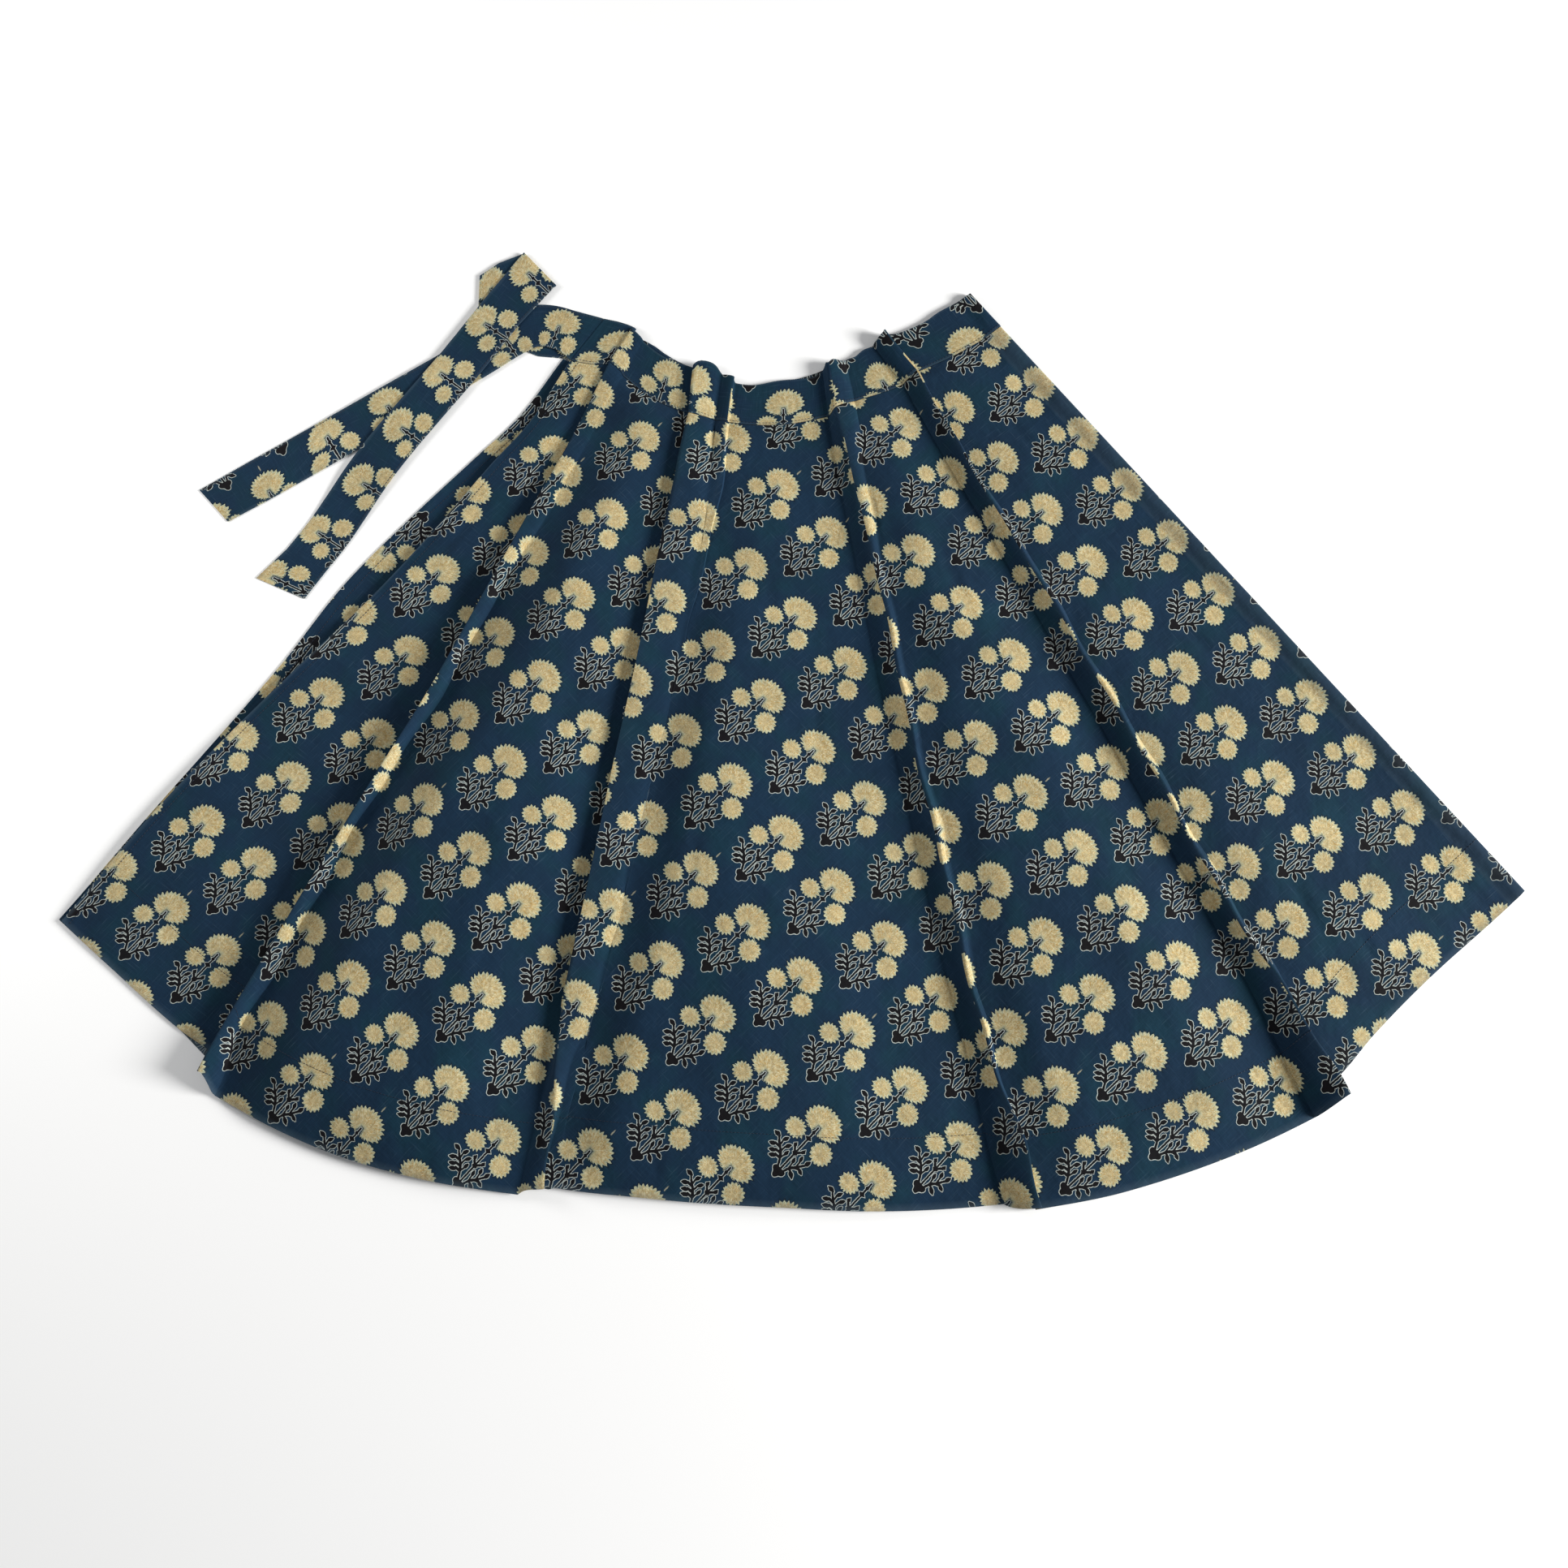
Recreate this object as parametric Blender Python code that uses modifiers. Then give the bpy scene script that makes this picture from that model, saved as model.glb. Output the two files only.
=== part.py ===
"""A long wrap skirt of printed cotton, folded in half and laid flat, with its waistband and two ties.

Lengths are metres. The cloth is a cone opened flat: places on it are told by the radius from the point
where its side edges would meet and by the angle from straight down, positive to the right.
"""

import math
from collections import namedtuple

import bmesh
import bpy
from mathutils import Vector

MM = 0.001
APEX_X = -6.99 * MM
APEX_Y = 770.6 * MM

CLOTH = 1.2 * MM
BAND_CLOTH = 2.0 * MM
TIE_CLOTH = 1.0 * MM
SEAM_GAP = 0.45 * MM

BAND_WIDTH = 54 * MM
TIE_WIDTH = 54 * MM

# Heights of the layers' middles. The over half rises to the thick band over the panel's top tenth or so.
UNDER_LEVEL = CLOTH / 2
OVER_LEVEL = 2.3 * MM
WAIST_LIFT = 1.1 * MM
WAIST_LIFT_SHARE = 0.12
BAND_UNDER_LEVEL = BAND_CLOTH / 2
BAND_OVER_LEVEL = 3.6 * MM

# The folded right edge, in degrees, and its ridge: the under half stops a little short of it, and
# the over half comes down from it within the reach.
FOLD_ANGLE = 39.65
FOLD_SHORT = 1.2
FOLD_HEIGHT = 5.4 * MM
FOLD_REACH = 26 * MM

# The band's two left ends, in degrees.
BAND_UNDER_END = -37.3
BAND_OVER_END = -36.0

ROWS = 22
UNDER_COLUMNS = 22
FLUTE_COLUMNS = (12, 12, 8, 12, 12)
BEND_COLUMNS = 4
FLAT_COLUMNS = (4, 5, 1, 7, 5, 6)
FLAT_SWELL = (1.2 * MM, 3.2 * MM, 0.0, 2.6 * MM, 3.2 * MM, 1.6 * MM)
SWELL_GROWTH = 0.7
BAND_ROWS = 2
TIE_LINES = 4

INDIGO = (0.0185, 0.0580, 0.1200, 1.0)
INDIGO_DEEP = (0.0150, 0.0480, 0.1020, 1.0)

# Radii in millimetres across the over half. "place" counts the flute feet from the left edge: 0 left
# edge, 1 and 2 the feet of the first flute, and so on to 11 at the folded right edge.
RIGHT_PLACE = 11.0
FOLD_FOOT_PLACE = 10.85
Width = namedtuple("Width", "place radius")
OVER_HEM = (
    Width(0.0, 1298),
    Width(0.4, 1306),
    Width(0.8, 1318),
    Width(1.0, 1322),
    Width(1.4, 1342),
    Width(1.6, 1343),
    Width(1.85, 1356),
    Width(2.0, 1359),
    Width(2.4, 1361),
    Width(2.7, 1355),
    Width(3.0, 1345),
    Width(3.5, 1333),
    Width(4.0, 1333),
    Width(5.0, 1333),
    Width(6.0, 1330),
    Width(6.2, 1326),
    Width(6.5, 1327),
    Width(6.7, 1334),
    Width(7.0, 1344),
    Width(7.3, 1352),
    Width(8.0, 1356),
    Width(8.3, 1360),
    Width(9.0, 1359),
    Width(9.4, 1351),
    Width(9.6, 1349),
    Width(10.0, 1334),
    Width(10.2, 1312),
    Width(10.4, 1297),
    Width(10.6, 1289),
    Width(11.0, 1283),
)
OVER_WAIST = (
    Width(0.0, 436),
    Width(0.5, 427),
    Width(1.0, 415),
    Width(1.5, 413),
    Width(2.0, 420),
    Width(2.5, 432),
    Width(3.0, 436),
    Width(4.0, 437),
    Width(5.0, 437),
    Width(6.0, 437),
    Width(6.5, 435),
    Width(7.0, 427),
    Width(8.0, 413),
    Width(9.0, 408),
    Width(9.5, 401),
    Width(10.0, 399),
    Width(11.0, 402),
)

# The way down from the folded edge's ridge, as shares of its reach and of its height.
Slope = namedtuple("Slope", "reach drop")
RIDGE_SLOPE = (
    Slope(0.30, 0.06),
    Slope(0.48, 0.34),
    Slope(0.72, 0.80),
)

# The over half's band: how far its folds run off to the side on their way up to its top edge, in
# degrees, and how wide it lies, in millimetres.
Band = namedtuple("Band", "place turn width")
OVER_BAND = (
    Band(0.0, 0.0, 66),
    Band(0.5, 0.0, 64),
    Band(1.0, 0.0, 55),
    Band(1.5, 0.0, 50),
    Band(2.2, 0.0, 50),
    Band(2.6, -0.7, 55),
    Band(3.0, -1.7, 57),
    Band(3.4, -1.7, 57),
    Band(3.6, -1.5, 67),
    Band(3.75, -1.2, 68),
    Band(4.0, -0.65, 59),
    Band(5.0, -0.65, 58),
    Band(5.6, -0.3, 56),
    Band(6.0, -0.1, 50),
    Band(6.2, 0.0, 50),
    Band(6.5, 0.0, 56),
    Band(6.9, 0.0, 53),
    Band(7.0, 0.0, 57),
    Band(7.3, 0.0, 60),
    Band(7.45, 0.0, 57),
    Band(7.65, 0.0, 58),
    Band(7.85, 0.0, 53),
    Band(8.2, 0.0, 53),
    Band(8.5, -0.6, 58),
    Band(9.0, -2.6, 58),
    Band(9.5, -2.6, 61),
    Band(9.8, -2.6, 61),
    Band(10.0, -2.4, 57),
    Band(10.1, -2.0, 54),
    Band(10.4, -0.6, 54),
    Band(10.6, 0.0, 57),
    Band(11.0, 0.0, 55),
)

# The under half: its waist and hem radii in millimetres against the angle in degrees.
Rim = namedtuple("Rim", "angle waist hem")
UNDER_RIM = (
    Rim(-38.4, 440, 1299),
    Rim(-34.0, 434, 1306),
    Rim(-30.0, 424, 1319),
    Rim(-26.0, 422, 1343),
    Rim(-22.0, 428, 1352),
    Rim(-16.0, 434, 1346),
    Rim(-11.0, 437, 1328),
    Rim(-6.5, 442, 1321),
    Rim(-2.0, 436, 1320),
    Rim(4.0, 427, 1326),
    Rim(12.0, 412, 1347),
    Rim(18.0, 408, 1352),
    Rim(23.0, 402, 1348),
    Rim(27.0, 401, 1324),
    Rim(31.0, 401, 1294),
    Rim(35.0, 402, 1285),
    Rim(39.65, 402, 1283),
)

# The free side edges: angle of each half's left edge against the radius.
Side = namedtuple("Side", "radius under over")
LEFT_EDGES = (
    Side(430, -37.3, -36.0),
    Side(520, -36.7, -35.0),
    Side(600, -37.6, -35.5),
    Side(700, -38.5, -35.8),
    Side(820, -39.0, -36.4),
    Side(940, -38.5, -37.3),
    Side(1060, -38.4, -37.9),
    Side(1180, -38.4, -38.2),
    Side(1300, -38.3, -38.1),
)

# Each flute against the radius: the angles that bound it as seen from above, its height in
# millimetres, and its lean, which is negative when the top rolls over to the left.
Flute = namedtuple("Flute", "radius left right height lean")
FLUTE_1 = (
    Flute(430, -30.5, -25.6, 9, -0.55),
    Flute(520, -29.2, -24.6, 12, -0.75),
    Flute(620, -28.7, -24.1, 15, -0.80),
    Flute(740, -28.2, -24.2, 18, -0.80),
    Flute(860, -27.9, -24.5, 21, -0.80),
    Flute(980, -28.1, -25.1, 23, -0.75),
    Flute(1100, -28.2, -25.4, 26, -0.70),
    Flute(1200, -28.2, -25.2, 30, -0.62),
    Flute(1280, -28.2, -24.9, 33, -0.55),
    Flute(1340, -28.1, -24.4, 35, -0.45),
)
FLUTE_2 = (
    Flute(430, -15.2, -11.0, 11, -0.60),
    Flute(480, -14.8, -10.4, 12, -0.60),
    Flute(520, -14.4, -9.8, 12, -0.60),
    Flute(620, -13.8, -9.6, 13, -0.70),
    Flute(740, -13.2, -9.9, 15, -0.80),
    Flute(860, -12.9, -10.2, 16, -0.80),
    Flute(980, -12.6, -10.2, 18, -0.75),
    Flute(1100, -12.4, -10.6, 20, -0.60),
    Flute(1200, -12.3, -10.9, 22, -0.20),
    Flute(1280, -12.3, -11.1, 23, 0.35),
    Flute(1340, -12.3, -11.1, 24, 0.60),
)
# The small pleat that lies against the second flute at the waist and dies out below it.
SMALL_PLEAT = (
    Flute(430, -10.9, -8.9, 7.5, 0.35),
    Flute(480, -10.3, -8.2, 6.0, 0.25),
    Flute(530, -9.6, -7.6, 3.0, 0.10),
    Flute(600, -9.4, -7.4, 0.8, 0.0),
    Flute(700, -9.8, -8.3, 0.0, 0.0),
    Flute(1340, -10.9, -9.6, 0.0, 0.0),
)
FLUTE_3 = (
    Flute(430, 6.6, 11.6, 9, -0.50),
    Flute(520, 6.8, 10.9, 11, -0.10),
    Flute(620, 7.3, 10.6, 13, 0.45),
    Flute(740, 7.8, 10.6, 16, 0.75),
    Flute(860, 8.3, 10.7, 18, 0.80),
    Flute(980, 8.7, 10.8, 20, 0.80),
    Flute(1100, 9.2, 11.0, 22, 0.80),
    Flute(1200, 9.7, 11.2, 24, 0.80),
    Flute(1280, 10.1, 11.5, 25, 0.75),
    Flute(1340, 10.5, 11.7, 26, 0.70),
)
FLUTE_4 = (
    Flute(430, 20.3, 24.2, 11, 0.35),
    Flute(520, 21.8, 25.0, 12, 0.35),
    Flute(620, 23.0, 25.6, 13, 0.45),
    Flute(740, 23.7, 25.9, 16, 0.65),
    Flute(860, 24.3, 26.1, 18, 0.75),
    Flute(980, 24.7, 26.3, 20, 0.80),
    Flute(1100, 25.0, 26.4, 22, 0.80),
    Flute(1200, 25.1, 26.4, 24, 0.80),
    Flute(1280, 25.2, 26.5, 26, 0.80),
    Flute(1340, 25.3, 26.7, 28, 0.80),
)
FLUTES = (FLUTE_1, FLUTE_2, SMALL_PLEAT, FLUTE_3, FLUTE_4)
FIRST_RADIUS = 430.0
LAST_RADIUS = 1340.0

# Centre line of the over tie: position and level in millimetres, measured from the apex.
Station = namedtuple("Station", "x y level")
TIE_OVER_LINE = (
    Station(-262.0, -314.0, 3.4),
    Station(-284.0, -307.5, 2.6),
    Station(-306.0, -308.5, 2.05),
    Station(-332.0, -322.0, 2.0),
    Station(-364.0, -344.0, 2.0),
    Station(-400.0, -367.5, 2.0),
    Station(-460.0, -405.0, 1.8),
    Station(-520.0, -442.5, 1.2),
    Station(-570.0, -473.5, 0.58),
    Station(-620.0, -504.5, 0.58),
)
TIE_OVER_END = ((-651.5, -554.3), (-687.5, -515.3))

# The under tie: two short turned-back runs near the band, then the long free run on top. Where two
# points are given, they are those of its two edges.
FIRST_RUN = (
    Station(-285.0, -321.0, 0.58),
    Station(-328.0, -302.0, 0.58),
)
LONG_RUN = (
    Station(-341.5, -290.3, 3.5),
    Station(-389.5, -358.5, 3.5),
    Station(-434.0, -417.0, 3.5),
    Station(-466.0, -460.0, 3.4),
    Station(-492.0, -499.0, 3.0),
    Station(-514.0, -536.0, 1.4),
    Station(-534.0, -569.0, 0.58),
    Station(-558.0, -603.0, 0.58),
)
LONG_RUN_END = ((-613.5, -623.3), (-556.5, -648.3))
SIDE_FOLD_X = -368.5
SIDE_FOLD = (-241.0, -312.0)
SECOND_RUN = ((-347.0, -225.0), (-323.0, -283.6))
TOP_FOLD = ((-317.5, -212.3), (-277.5, -255.3))
TURN_STEPS = 6
FIRST_LEVEL = 0.58
SECOND_LEVEL = 2.0
THIRD_LEVEL = 3.5


def clear_scene():
    for thing in list(bpy.data.objects):
        bpy.data.objects.remove(thing, do_unlink=True)
    for group in list(bpy.data.collections):
        bpy.data.collections.remove(group)


def cloth_material(name, colour):
    material = bpy.data.materials.new(name)
    material.use_nodes = True
    shader = material.node_tree.nodes["Principled BSDF"]
    shader.inputs["Base Color"].default_value = colour
    shader.inputs["Roughness"].default_value = 0.88
    shader.inputs["Metallic"].default_value = 0.0
    material.diffuse_color = colour
    return material


def smooth_value(rows, key, column, where):
    """Value of a table's column, joined by smooth curves without overshoot at the ends."""
    keys = [getattr(row, key) for row in rows]
    values = [getattr(row, column) for row in rows]
    if where <= keys[0]:
        return values[0]
    if where >= keys[-1]:
        return values[-1]
    index = 0
    while keys[index + 1] < where:
        index += 1
    span = keys[index + 1] - keys[index]
    slopes = []
    for at in (index, index + 1):
        low = max(at - 1, 0)
        high = min(at + 1, len(keys) - 1)
        slopes.append((values[high] - values[low]) / (keys[high] - keys[low]) * span)
    s = (where - keys[index]) / span
    rise = s * s * (3 - 2 * s)
    start = values[index] * (1 - rise)
    end = values[index + 1] * rise
    return start + end + slopes[0] * s * (1 - s) ** 2 - slopes[1] * s * s * (1 - s)


def on_cone(radius, angle, level):
    """Point at a radius in metres and an angle in degrees, at a height above the ground."""
    turn = math.radians(angle)
    return Vector((APEX_X + radius * math.sin(turn), APEX_Y - radius * math.cos(turn), level))


def lean_reach(lean):
    """How wide a flute of foot width one looks from above, for its lean."""
    size = abs(lean)
    if size * math.pi <= 1:
        return 1.0
    top = 0.5 + math.asin(1 / (size * math.pi)) / (2 * math.pi)
    return max(1.0, top + size * math.sin(math.pi * top) ** 2)


def flute_at(rows, down):
    """Angles of a flute's two feet, its height and its sideways lean in degrees, part way down."""
    radius = FIRST_RADIUS + down * (LAST_RADIUS - FIRST_RADIUS)
    left = smooth_value(rows, "radius", "left", radius)
    right = smooth_value(rows, "radius", "right", radius)
    height = smooth_value(rows, "radius", "height", radius) * MM
    lean = smooth_value(rows, "radius", "lean", radius)
    foot = (right - left) / lean_reach(lean)
    if lean < 0:
        left = right - foot
    return left, left + foot, height, lean * foot


def over_level(down):
    """Height of the over half's flat parts: a little higher at the thick waist."""
    return OVER_LEVEL + WAIST_LIFT * max(0.0, 1 - down / WAIST_LIFT_SHARE) ** 2


def over_places(down):
    """(place, angle, height) for every column of the over half, from the left edge to the fold's foot."""
    radius = FIRST_RADIUS + down * (LAST_RADIUS - FIRST_RADIUS)
    level = over_level(down)
    start = smooth_value(LEFT_EDGES, "radius", "over", radius)
    found = []
    for zone, columns in enumerate(FLAT_COLUMNS):
        last = zone == len(FLUTES)
        if last:
            left = FOLD_ANGLE - math.degrees(FOLD_REACH / (radius * MM))
        else:
            left, right, height, lean = flute_at(FLUTES[zone], down)
        last_place = FOLD_FOOT_PLACE if last else 2 * zone + 1
        for column in range(columns):
            part = column / columns
            place = 2 * zone + part * (last_place - 2 * zone)
            swell = FLAT_SWELL[zone] * math.sin(math.pi * part) ** 2 * down ** SWELL_GROWTH
            found.append((place, start + part * (left - start), level + swell))
        if last:
            found.append((last_place, left, level))
            break
        for column in range(FLUTE_COLUMNS[zone]):
            part = column / FLUTE_COLUMNS[zone]
            rise = math.sin(math.pi * part) ** 2
            angle = left + part * (right - left) + lean * rise
            found.append((2 * zone + 1 + part, angle, level + height * rise))
        start = right
    return found


def fold_places(down, low, high):
    """(place, angle, height) round the folded right edge, from the under half to the over half."""
    radius = (FIRST_RADIUS + down * (LAST_RADIUS - FIRST_RADIUS)) * MM
    per_metre = math.degrees(1 / radius)
    ridge = low + FOLD_HEIGHT
    bend = FOLD_HEIGHT / 2
    found = []
    for step in range(BEND_COLUMNS + 1):
        turn = math.pi * step / BEND_COLUMNS
        angle = FOLD_ANGLE - per_metre * bend * (1 - math.sin(turn))
        found.append((RIGHT_PLACE, angle, low + bend * (1 - math.cos(turn))))
    for slope in RIDGE_SLOPE:
        place = RIGHT_PLACE - (RIGHT_PLACE - FOLD_FOOT_PLACE) * slope.reach
        angle = FOLD_ANGLE - per_metre * FOLD_REACH * slope.reach
        found.append((place, angle, ridge - (ridge - high) * slope.drop))
    return found


def under_angles(left):
    """Evenly spread angles of the under half, from its left edge to just short of the fold."""
    end = FOLD_ANGLE - FOLD_SHORT
    return [left + (end - left) * column / (UNDER_COLUMNS - 1) for column in range(UNDER_COLUMNS)]


def panel_row(down):
    """One line of points round both halves of the panel, from the waist (0) to the hem (1)."""
    radius = FIRST_RADIUS + down * (LAST_RADIUS - FIRST_RADIUS)
    points = []
    for angle in under_angles(smooth_value(LEFT_EDGES, "radius", "under", radius)):
        waist = smooth_value(UNDER_RIM, "angle", "waist", angle) * MM + SEAM_GAP
        hem = smooth_value(UNDER_RIM, "angle", "hem", angle) * MM
        points.append(on_cone(waist + down * (hem - waist), angle, UNDER_LEVEL))
    places = fold_places(down, UNDER_LEVEL, over_level(down)) + over_places(down)[::-1]
    for place, angle, height in places:
        waist = smooth_value(OVER_WAIST, "place", "radius", place) * MM + SEAM_GAP
        hem = smooth_value(OVER_HEM, "place", "radius", place) * MM
        points.append(on_cone(waist + down * (hem - waist), angle, height))
    return points


def band_row(across):
    """One line of points round both halves of the waistband, from its seam (0) to its top (1)."""
    points = []
    for angle in under_angles(BAND_UNDER_END):
        seam = smooth_value(UNDER_RIM, "angle", "waist", angle) * MM - SEAM_GAP
        points.append(on_cone(seam - across * BAND_WIDTH, angle, BAND_UNDER_LEVEL))
    lift = BAND_OVER_LEVEL - over_level(0)
    places = fold_places(0, BAND_UNDER_LEVEL, BAND_OVER_LEVEL)
    places += [(place, angle, height + lift) for place, angle, height in over_places(0)[::-1]]
    for place, angle, height in places:
        seam = smooth_value(OVER_WAIST, "place", "radius", place) * MM - SEAM_GAP
        turned = angle + across * smooth_value(OVER_BAND, "place", "turn", place)
        width = smooth_value(OVER_BAND, "place", "width", place) * MM
        points.append(on_cone(seam - across * width, turned, height))
    return points


def sheet_object(name, rows, thickness, material, collection):
    """A grid of points made into a sheet of even thickness."""
    mesh = bpy.data.meshes.new(name)
    work = bmesh.new()
    grid = [[work.verts.new(point) for point in row] for row in rows]
    for upper, lower in zip(grid, grid[1:]):
        for column in range(len(upper) - 1):
            work.faces.new((upper[column], lower[column], lower[column + 1], upper[column + 1]))
    bmesh.ops.recalc_face_normals(work, faces=work.faces)
    work.to_mesh(mesh)
    work.free()
    sheet = bpy.data.objects.new(name, mesh)
    collection.objects.link(sheet)
    mesh.materials.append(material)
    wall = sheet.modifiers.new("wall", "SOLIDIFY")
    wall.thickness = thickness
    wall.offset = 0.0
    wall.use_even_offset = True
    wall.use_quality_normals = True
    return sheet


def make_panel(collection):
    rows = [panel_row(row / ROWS) for row in range(ROWS + 1)]
    material = cloth_material("indigo_cotton", INDIGO)
    return sheet_object("skirt_panel", rows, CLOTH, material, collection)


def make_band(collection):
    rows = [band_row(row / BAND_ROWS) for row in range(BAND_ROWS + 1)]
    material = cloth_material("band_cotton", INDIGO_DEEP)
    return sheet_object("waistband", rows, BAND_CLOTH, material, collection)


def from_apex(x, y, level):
    return Vector((APEX_X + x * MM, APEX_Y + y * MM, level * MM))


def strip_sides(line):
    """Left and right edge points of a strip along a line of stations."""
    left = []
    right = []
    for index, station in enumerate(line):
        before = line[max(index - 1, 0)]
        after = line[min(index + 1, len(line) - 1)]
        along = Vector((after.x - before.x, after.y - before.y)).normalized()
        side = Vector((-along.y, along.x)) * (TIE_WIDTH / MM / 2)
        left.append((station.x + side.x, station.y + side.y, station.level))
        right.append((station.x - side.x, station.y - side.y, station.level))
    return left, right


def strip_rows(left, right):
    """Lengthwise lines of points between the two edges of a strip."""
    rows = []
    for line in range(TIE_LINES):
        part = line / (TIE_LINES - 1)
        row = []
        for a, b in zip(left, right):
            row.append(from_apex(*(a[axis] * (1 - part) + b[axis] * part for axis in range(3))))
        rows.append(row)
    return rows


def smooth_line(line, steps):
    """The stations of a strip joined by a smooth line with more stations."""
    finer = []
    for index in range(len(line) - 1):
        p0 = line[max(index - 1, 0)]
        p1 = line[index]
        p2 = line[index + 1]
        p3 = line[min(index + 2, len(line) - 1)]
        for step in range(steps):
            s = step / steps
            values = []
            for a, b, c, d in zip(p0, p1, p2, p3):
                pull = (c - a) * s + (2 * a - 5 * b + 4 * c - d) * s * s
                pull += (3 * b - a - 3 * c + d) * s ** 3
                values.append(b + pull / 2)
            finer.append(Station(*values))
    finer.append(line[-1])
    return finer


def band_end(waist, width, angle, level):
    """Lower and upper corners of a tie where it meets the band's end, clear of it by the seam gap."""
    away = angle - math.degrees(SEAM_GAP / (waist * MM))
    corners = []
    for radius in (waist - SEAM_GAP / MM, waist - SEAM_GAP / MM - width):
        place = on_cone(radius * MM, away, 0.0)
        corners.append(((place.x - APEX_X) / MM, (place.y - APEX_Y) / MM, level))
    return corners


def make_tie_over(collection):
    left, right = strip_sides(smooth_line(TIE_OVER_LINE, 3))
    waist = OVER_WAIST[0].radius
    lower, upper = band_end(waist, OVER_BAND[0].width, BAND_OVER_END, BAND_OVER_LEVEL / MM)
    left = [lower, *left, (*TIE_OVER_END[0], FIRST_LEVEL)]
    right = [upper, *right, (*TIE_OVER_END[1], FIRST_LEVEL)]
    material = cloth_material("tie_over_cotton", INDIGO)
    return sheet_object("tie_over", strip_rows(left, right), TIE_CLOTH, material, collection)


def turn_over(point, fold_way, low, high):
    """Points round a turned-back fold at one place of its line, bulging the way it is pushed."""
    found = []
    bend = (high - low) / 2
    for step in range(1, TURN_STEPS):
        turn = math.pi * step / TURN_STEPS
        reach = bend * math.sin(turn)
        level = low + bend * (1 - math.cos(turn))
        found.append((point[0] + fold_way[0] * reach, point[1] + fold_way[1] * reach, level))
    return found


def make_tie_under(collection):
    first_left, first_right = strip_sides(FIRST_RUN)
    waist = smooth_value(UNDER_RIM, "angle", "waist", BAND_UNDER_END)
    lower, upper = band_end(waist, BAND_WIDTH / MM, BAND_UNDER_END, FIRST_LEVEL)
    first_left.insert(0, lower)
    first_right.insert(0, upper)
    long_left, long_right = strip_sides(smooth_line(LONG_RUN, 2))
    top_way = Vector((TOP_FOLD[1][1] - TOP_FOLD[0][1], TOP_FOLD[0][0] - TOP_FOLD[1][0]))
    top_way = -top_way.normalized()
    edges = []
    for side in range(2):
        first = (first_right, first_left)[side]
        side_fold = (SIDE_FOLD_X, SIDE_FOLD[side])
        top_fold = TOP_FOLD[side]
        long = (long_right, long_left)[side]
        edge = list(first)
        edge.append((*side_fold, FIRST_LEVEL))
        edge += turn_over(side_fold, (-1, 0), FIRST_LEVEL, SECOND_LEVEL)
        edge.append((*side_fold, SECOND_LEVEL))
        edge.append((*SECOND_RUN[side], SECOND_LEVEL))
        edge.append((*top_fold, SECOND_LEVEL))
        edge += turn_over(top_fold, top_way, SECOND_LEVEL, THIRD_LEVEL)
        edge.append((*top_fold, THIRD_LEVEL))
        edge += long
        edge.append((*LONG_RUN_END[side], FIRST_LEVEL))
        edges.append(edge)
    material = cloth_material("tie_under_cotton", INDIGO)
    return sheet_object("tie_under", strip_rows(*edges), TIE_CLOTH, material, collection)


def main():
    clear_scene()
    collection = bpy.data.collections.new("wrap_skirt")
    bpy.context.scene.collection.children.link(collection)
    make_panel(collection)
    make_band(collection)
    make_tie_over(collection)
    make_tie_under(collection)


main()
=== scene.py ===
"""Looks of a long wrap skirt of block-printed cotton, folded in half and laid flat on a pale floor.

Lengths are metres unless a name or a table says millimetres or degrees. The cloth is a cone opened flat:
places on it are told by the radius from the point where its side edges would meet and by the angle from
straight down, positive to the right. The print is laid on in its own flat coordinates, u across the
bouquets and v up them, kept in each sheet's UV map in metres.
"""

import math
from collections import namedtuple

import bpy
import numpy as np
from bpy.props import FloatProperty, FloatVectorProperty, PointerProperty
from bpy.types import Operator, Panel, PropertyGroup
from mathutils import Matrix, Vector


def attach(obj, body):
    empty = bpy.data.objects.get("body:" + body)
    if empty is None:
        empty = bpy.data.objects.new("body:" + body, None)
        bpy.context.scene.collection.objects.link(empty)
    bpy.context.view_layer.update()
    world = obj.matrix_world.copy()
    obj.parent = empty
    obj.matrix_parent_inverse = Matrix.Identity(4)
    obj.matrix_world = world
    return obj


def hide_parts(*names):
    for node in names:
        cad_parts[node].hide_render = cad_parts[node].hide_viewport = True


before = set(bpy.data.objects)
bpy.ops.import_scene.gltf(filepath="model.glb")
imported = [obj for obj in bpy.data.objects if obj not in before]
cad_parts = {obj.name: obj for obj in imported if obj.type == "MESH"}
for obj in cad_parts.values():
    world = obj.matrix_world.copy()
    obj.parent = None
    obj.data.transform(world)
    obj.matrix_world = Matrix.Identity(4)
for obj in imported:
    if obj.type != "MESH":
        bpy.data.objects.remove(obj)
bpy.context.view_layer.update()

bl_info = {
    "name": "Printed wrap skirt",
    "version": (1, 0, 0),
    "blender": (4, 5, 0),
    "location": "3D View > Sidebar > Skirt",
    "description": "Dresses the solids of a wrap skirt in printed cotton",
    "category": "Object",
}

MM = 0.001
UV_NAME = "print"
# Attribute of real wear and of painted highlight on the folded edge and crests.
WEAR_AND_HIGHLIGHT_NAME = "wear"


def table(row, *values):
    """A table whose rows have named columns."""
    return tuple(row(*value) for value in values)


# ---------------------------------------------------------------- shape of the laid skirt

APEX = np.array((-6.99, 770.6)) * MM

UNDER_LEVEL = 0.6 * MM
OVER_LEVEL = 2.3 * MM
WAIST_LIFT = 1.1 * MM
WAIST_LIFT_SHARE = 0.12
BAND_UNDER_LEVEL = 1.0 * MM
BAND_OVER_LEVEL = 3.6 * MM
SEAM_GAP = 0.35 * MM
BAND_WIDTH = 54.0
TIE_WIDTH = 54.0

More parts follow.
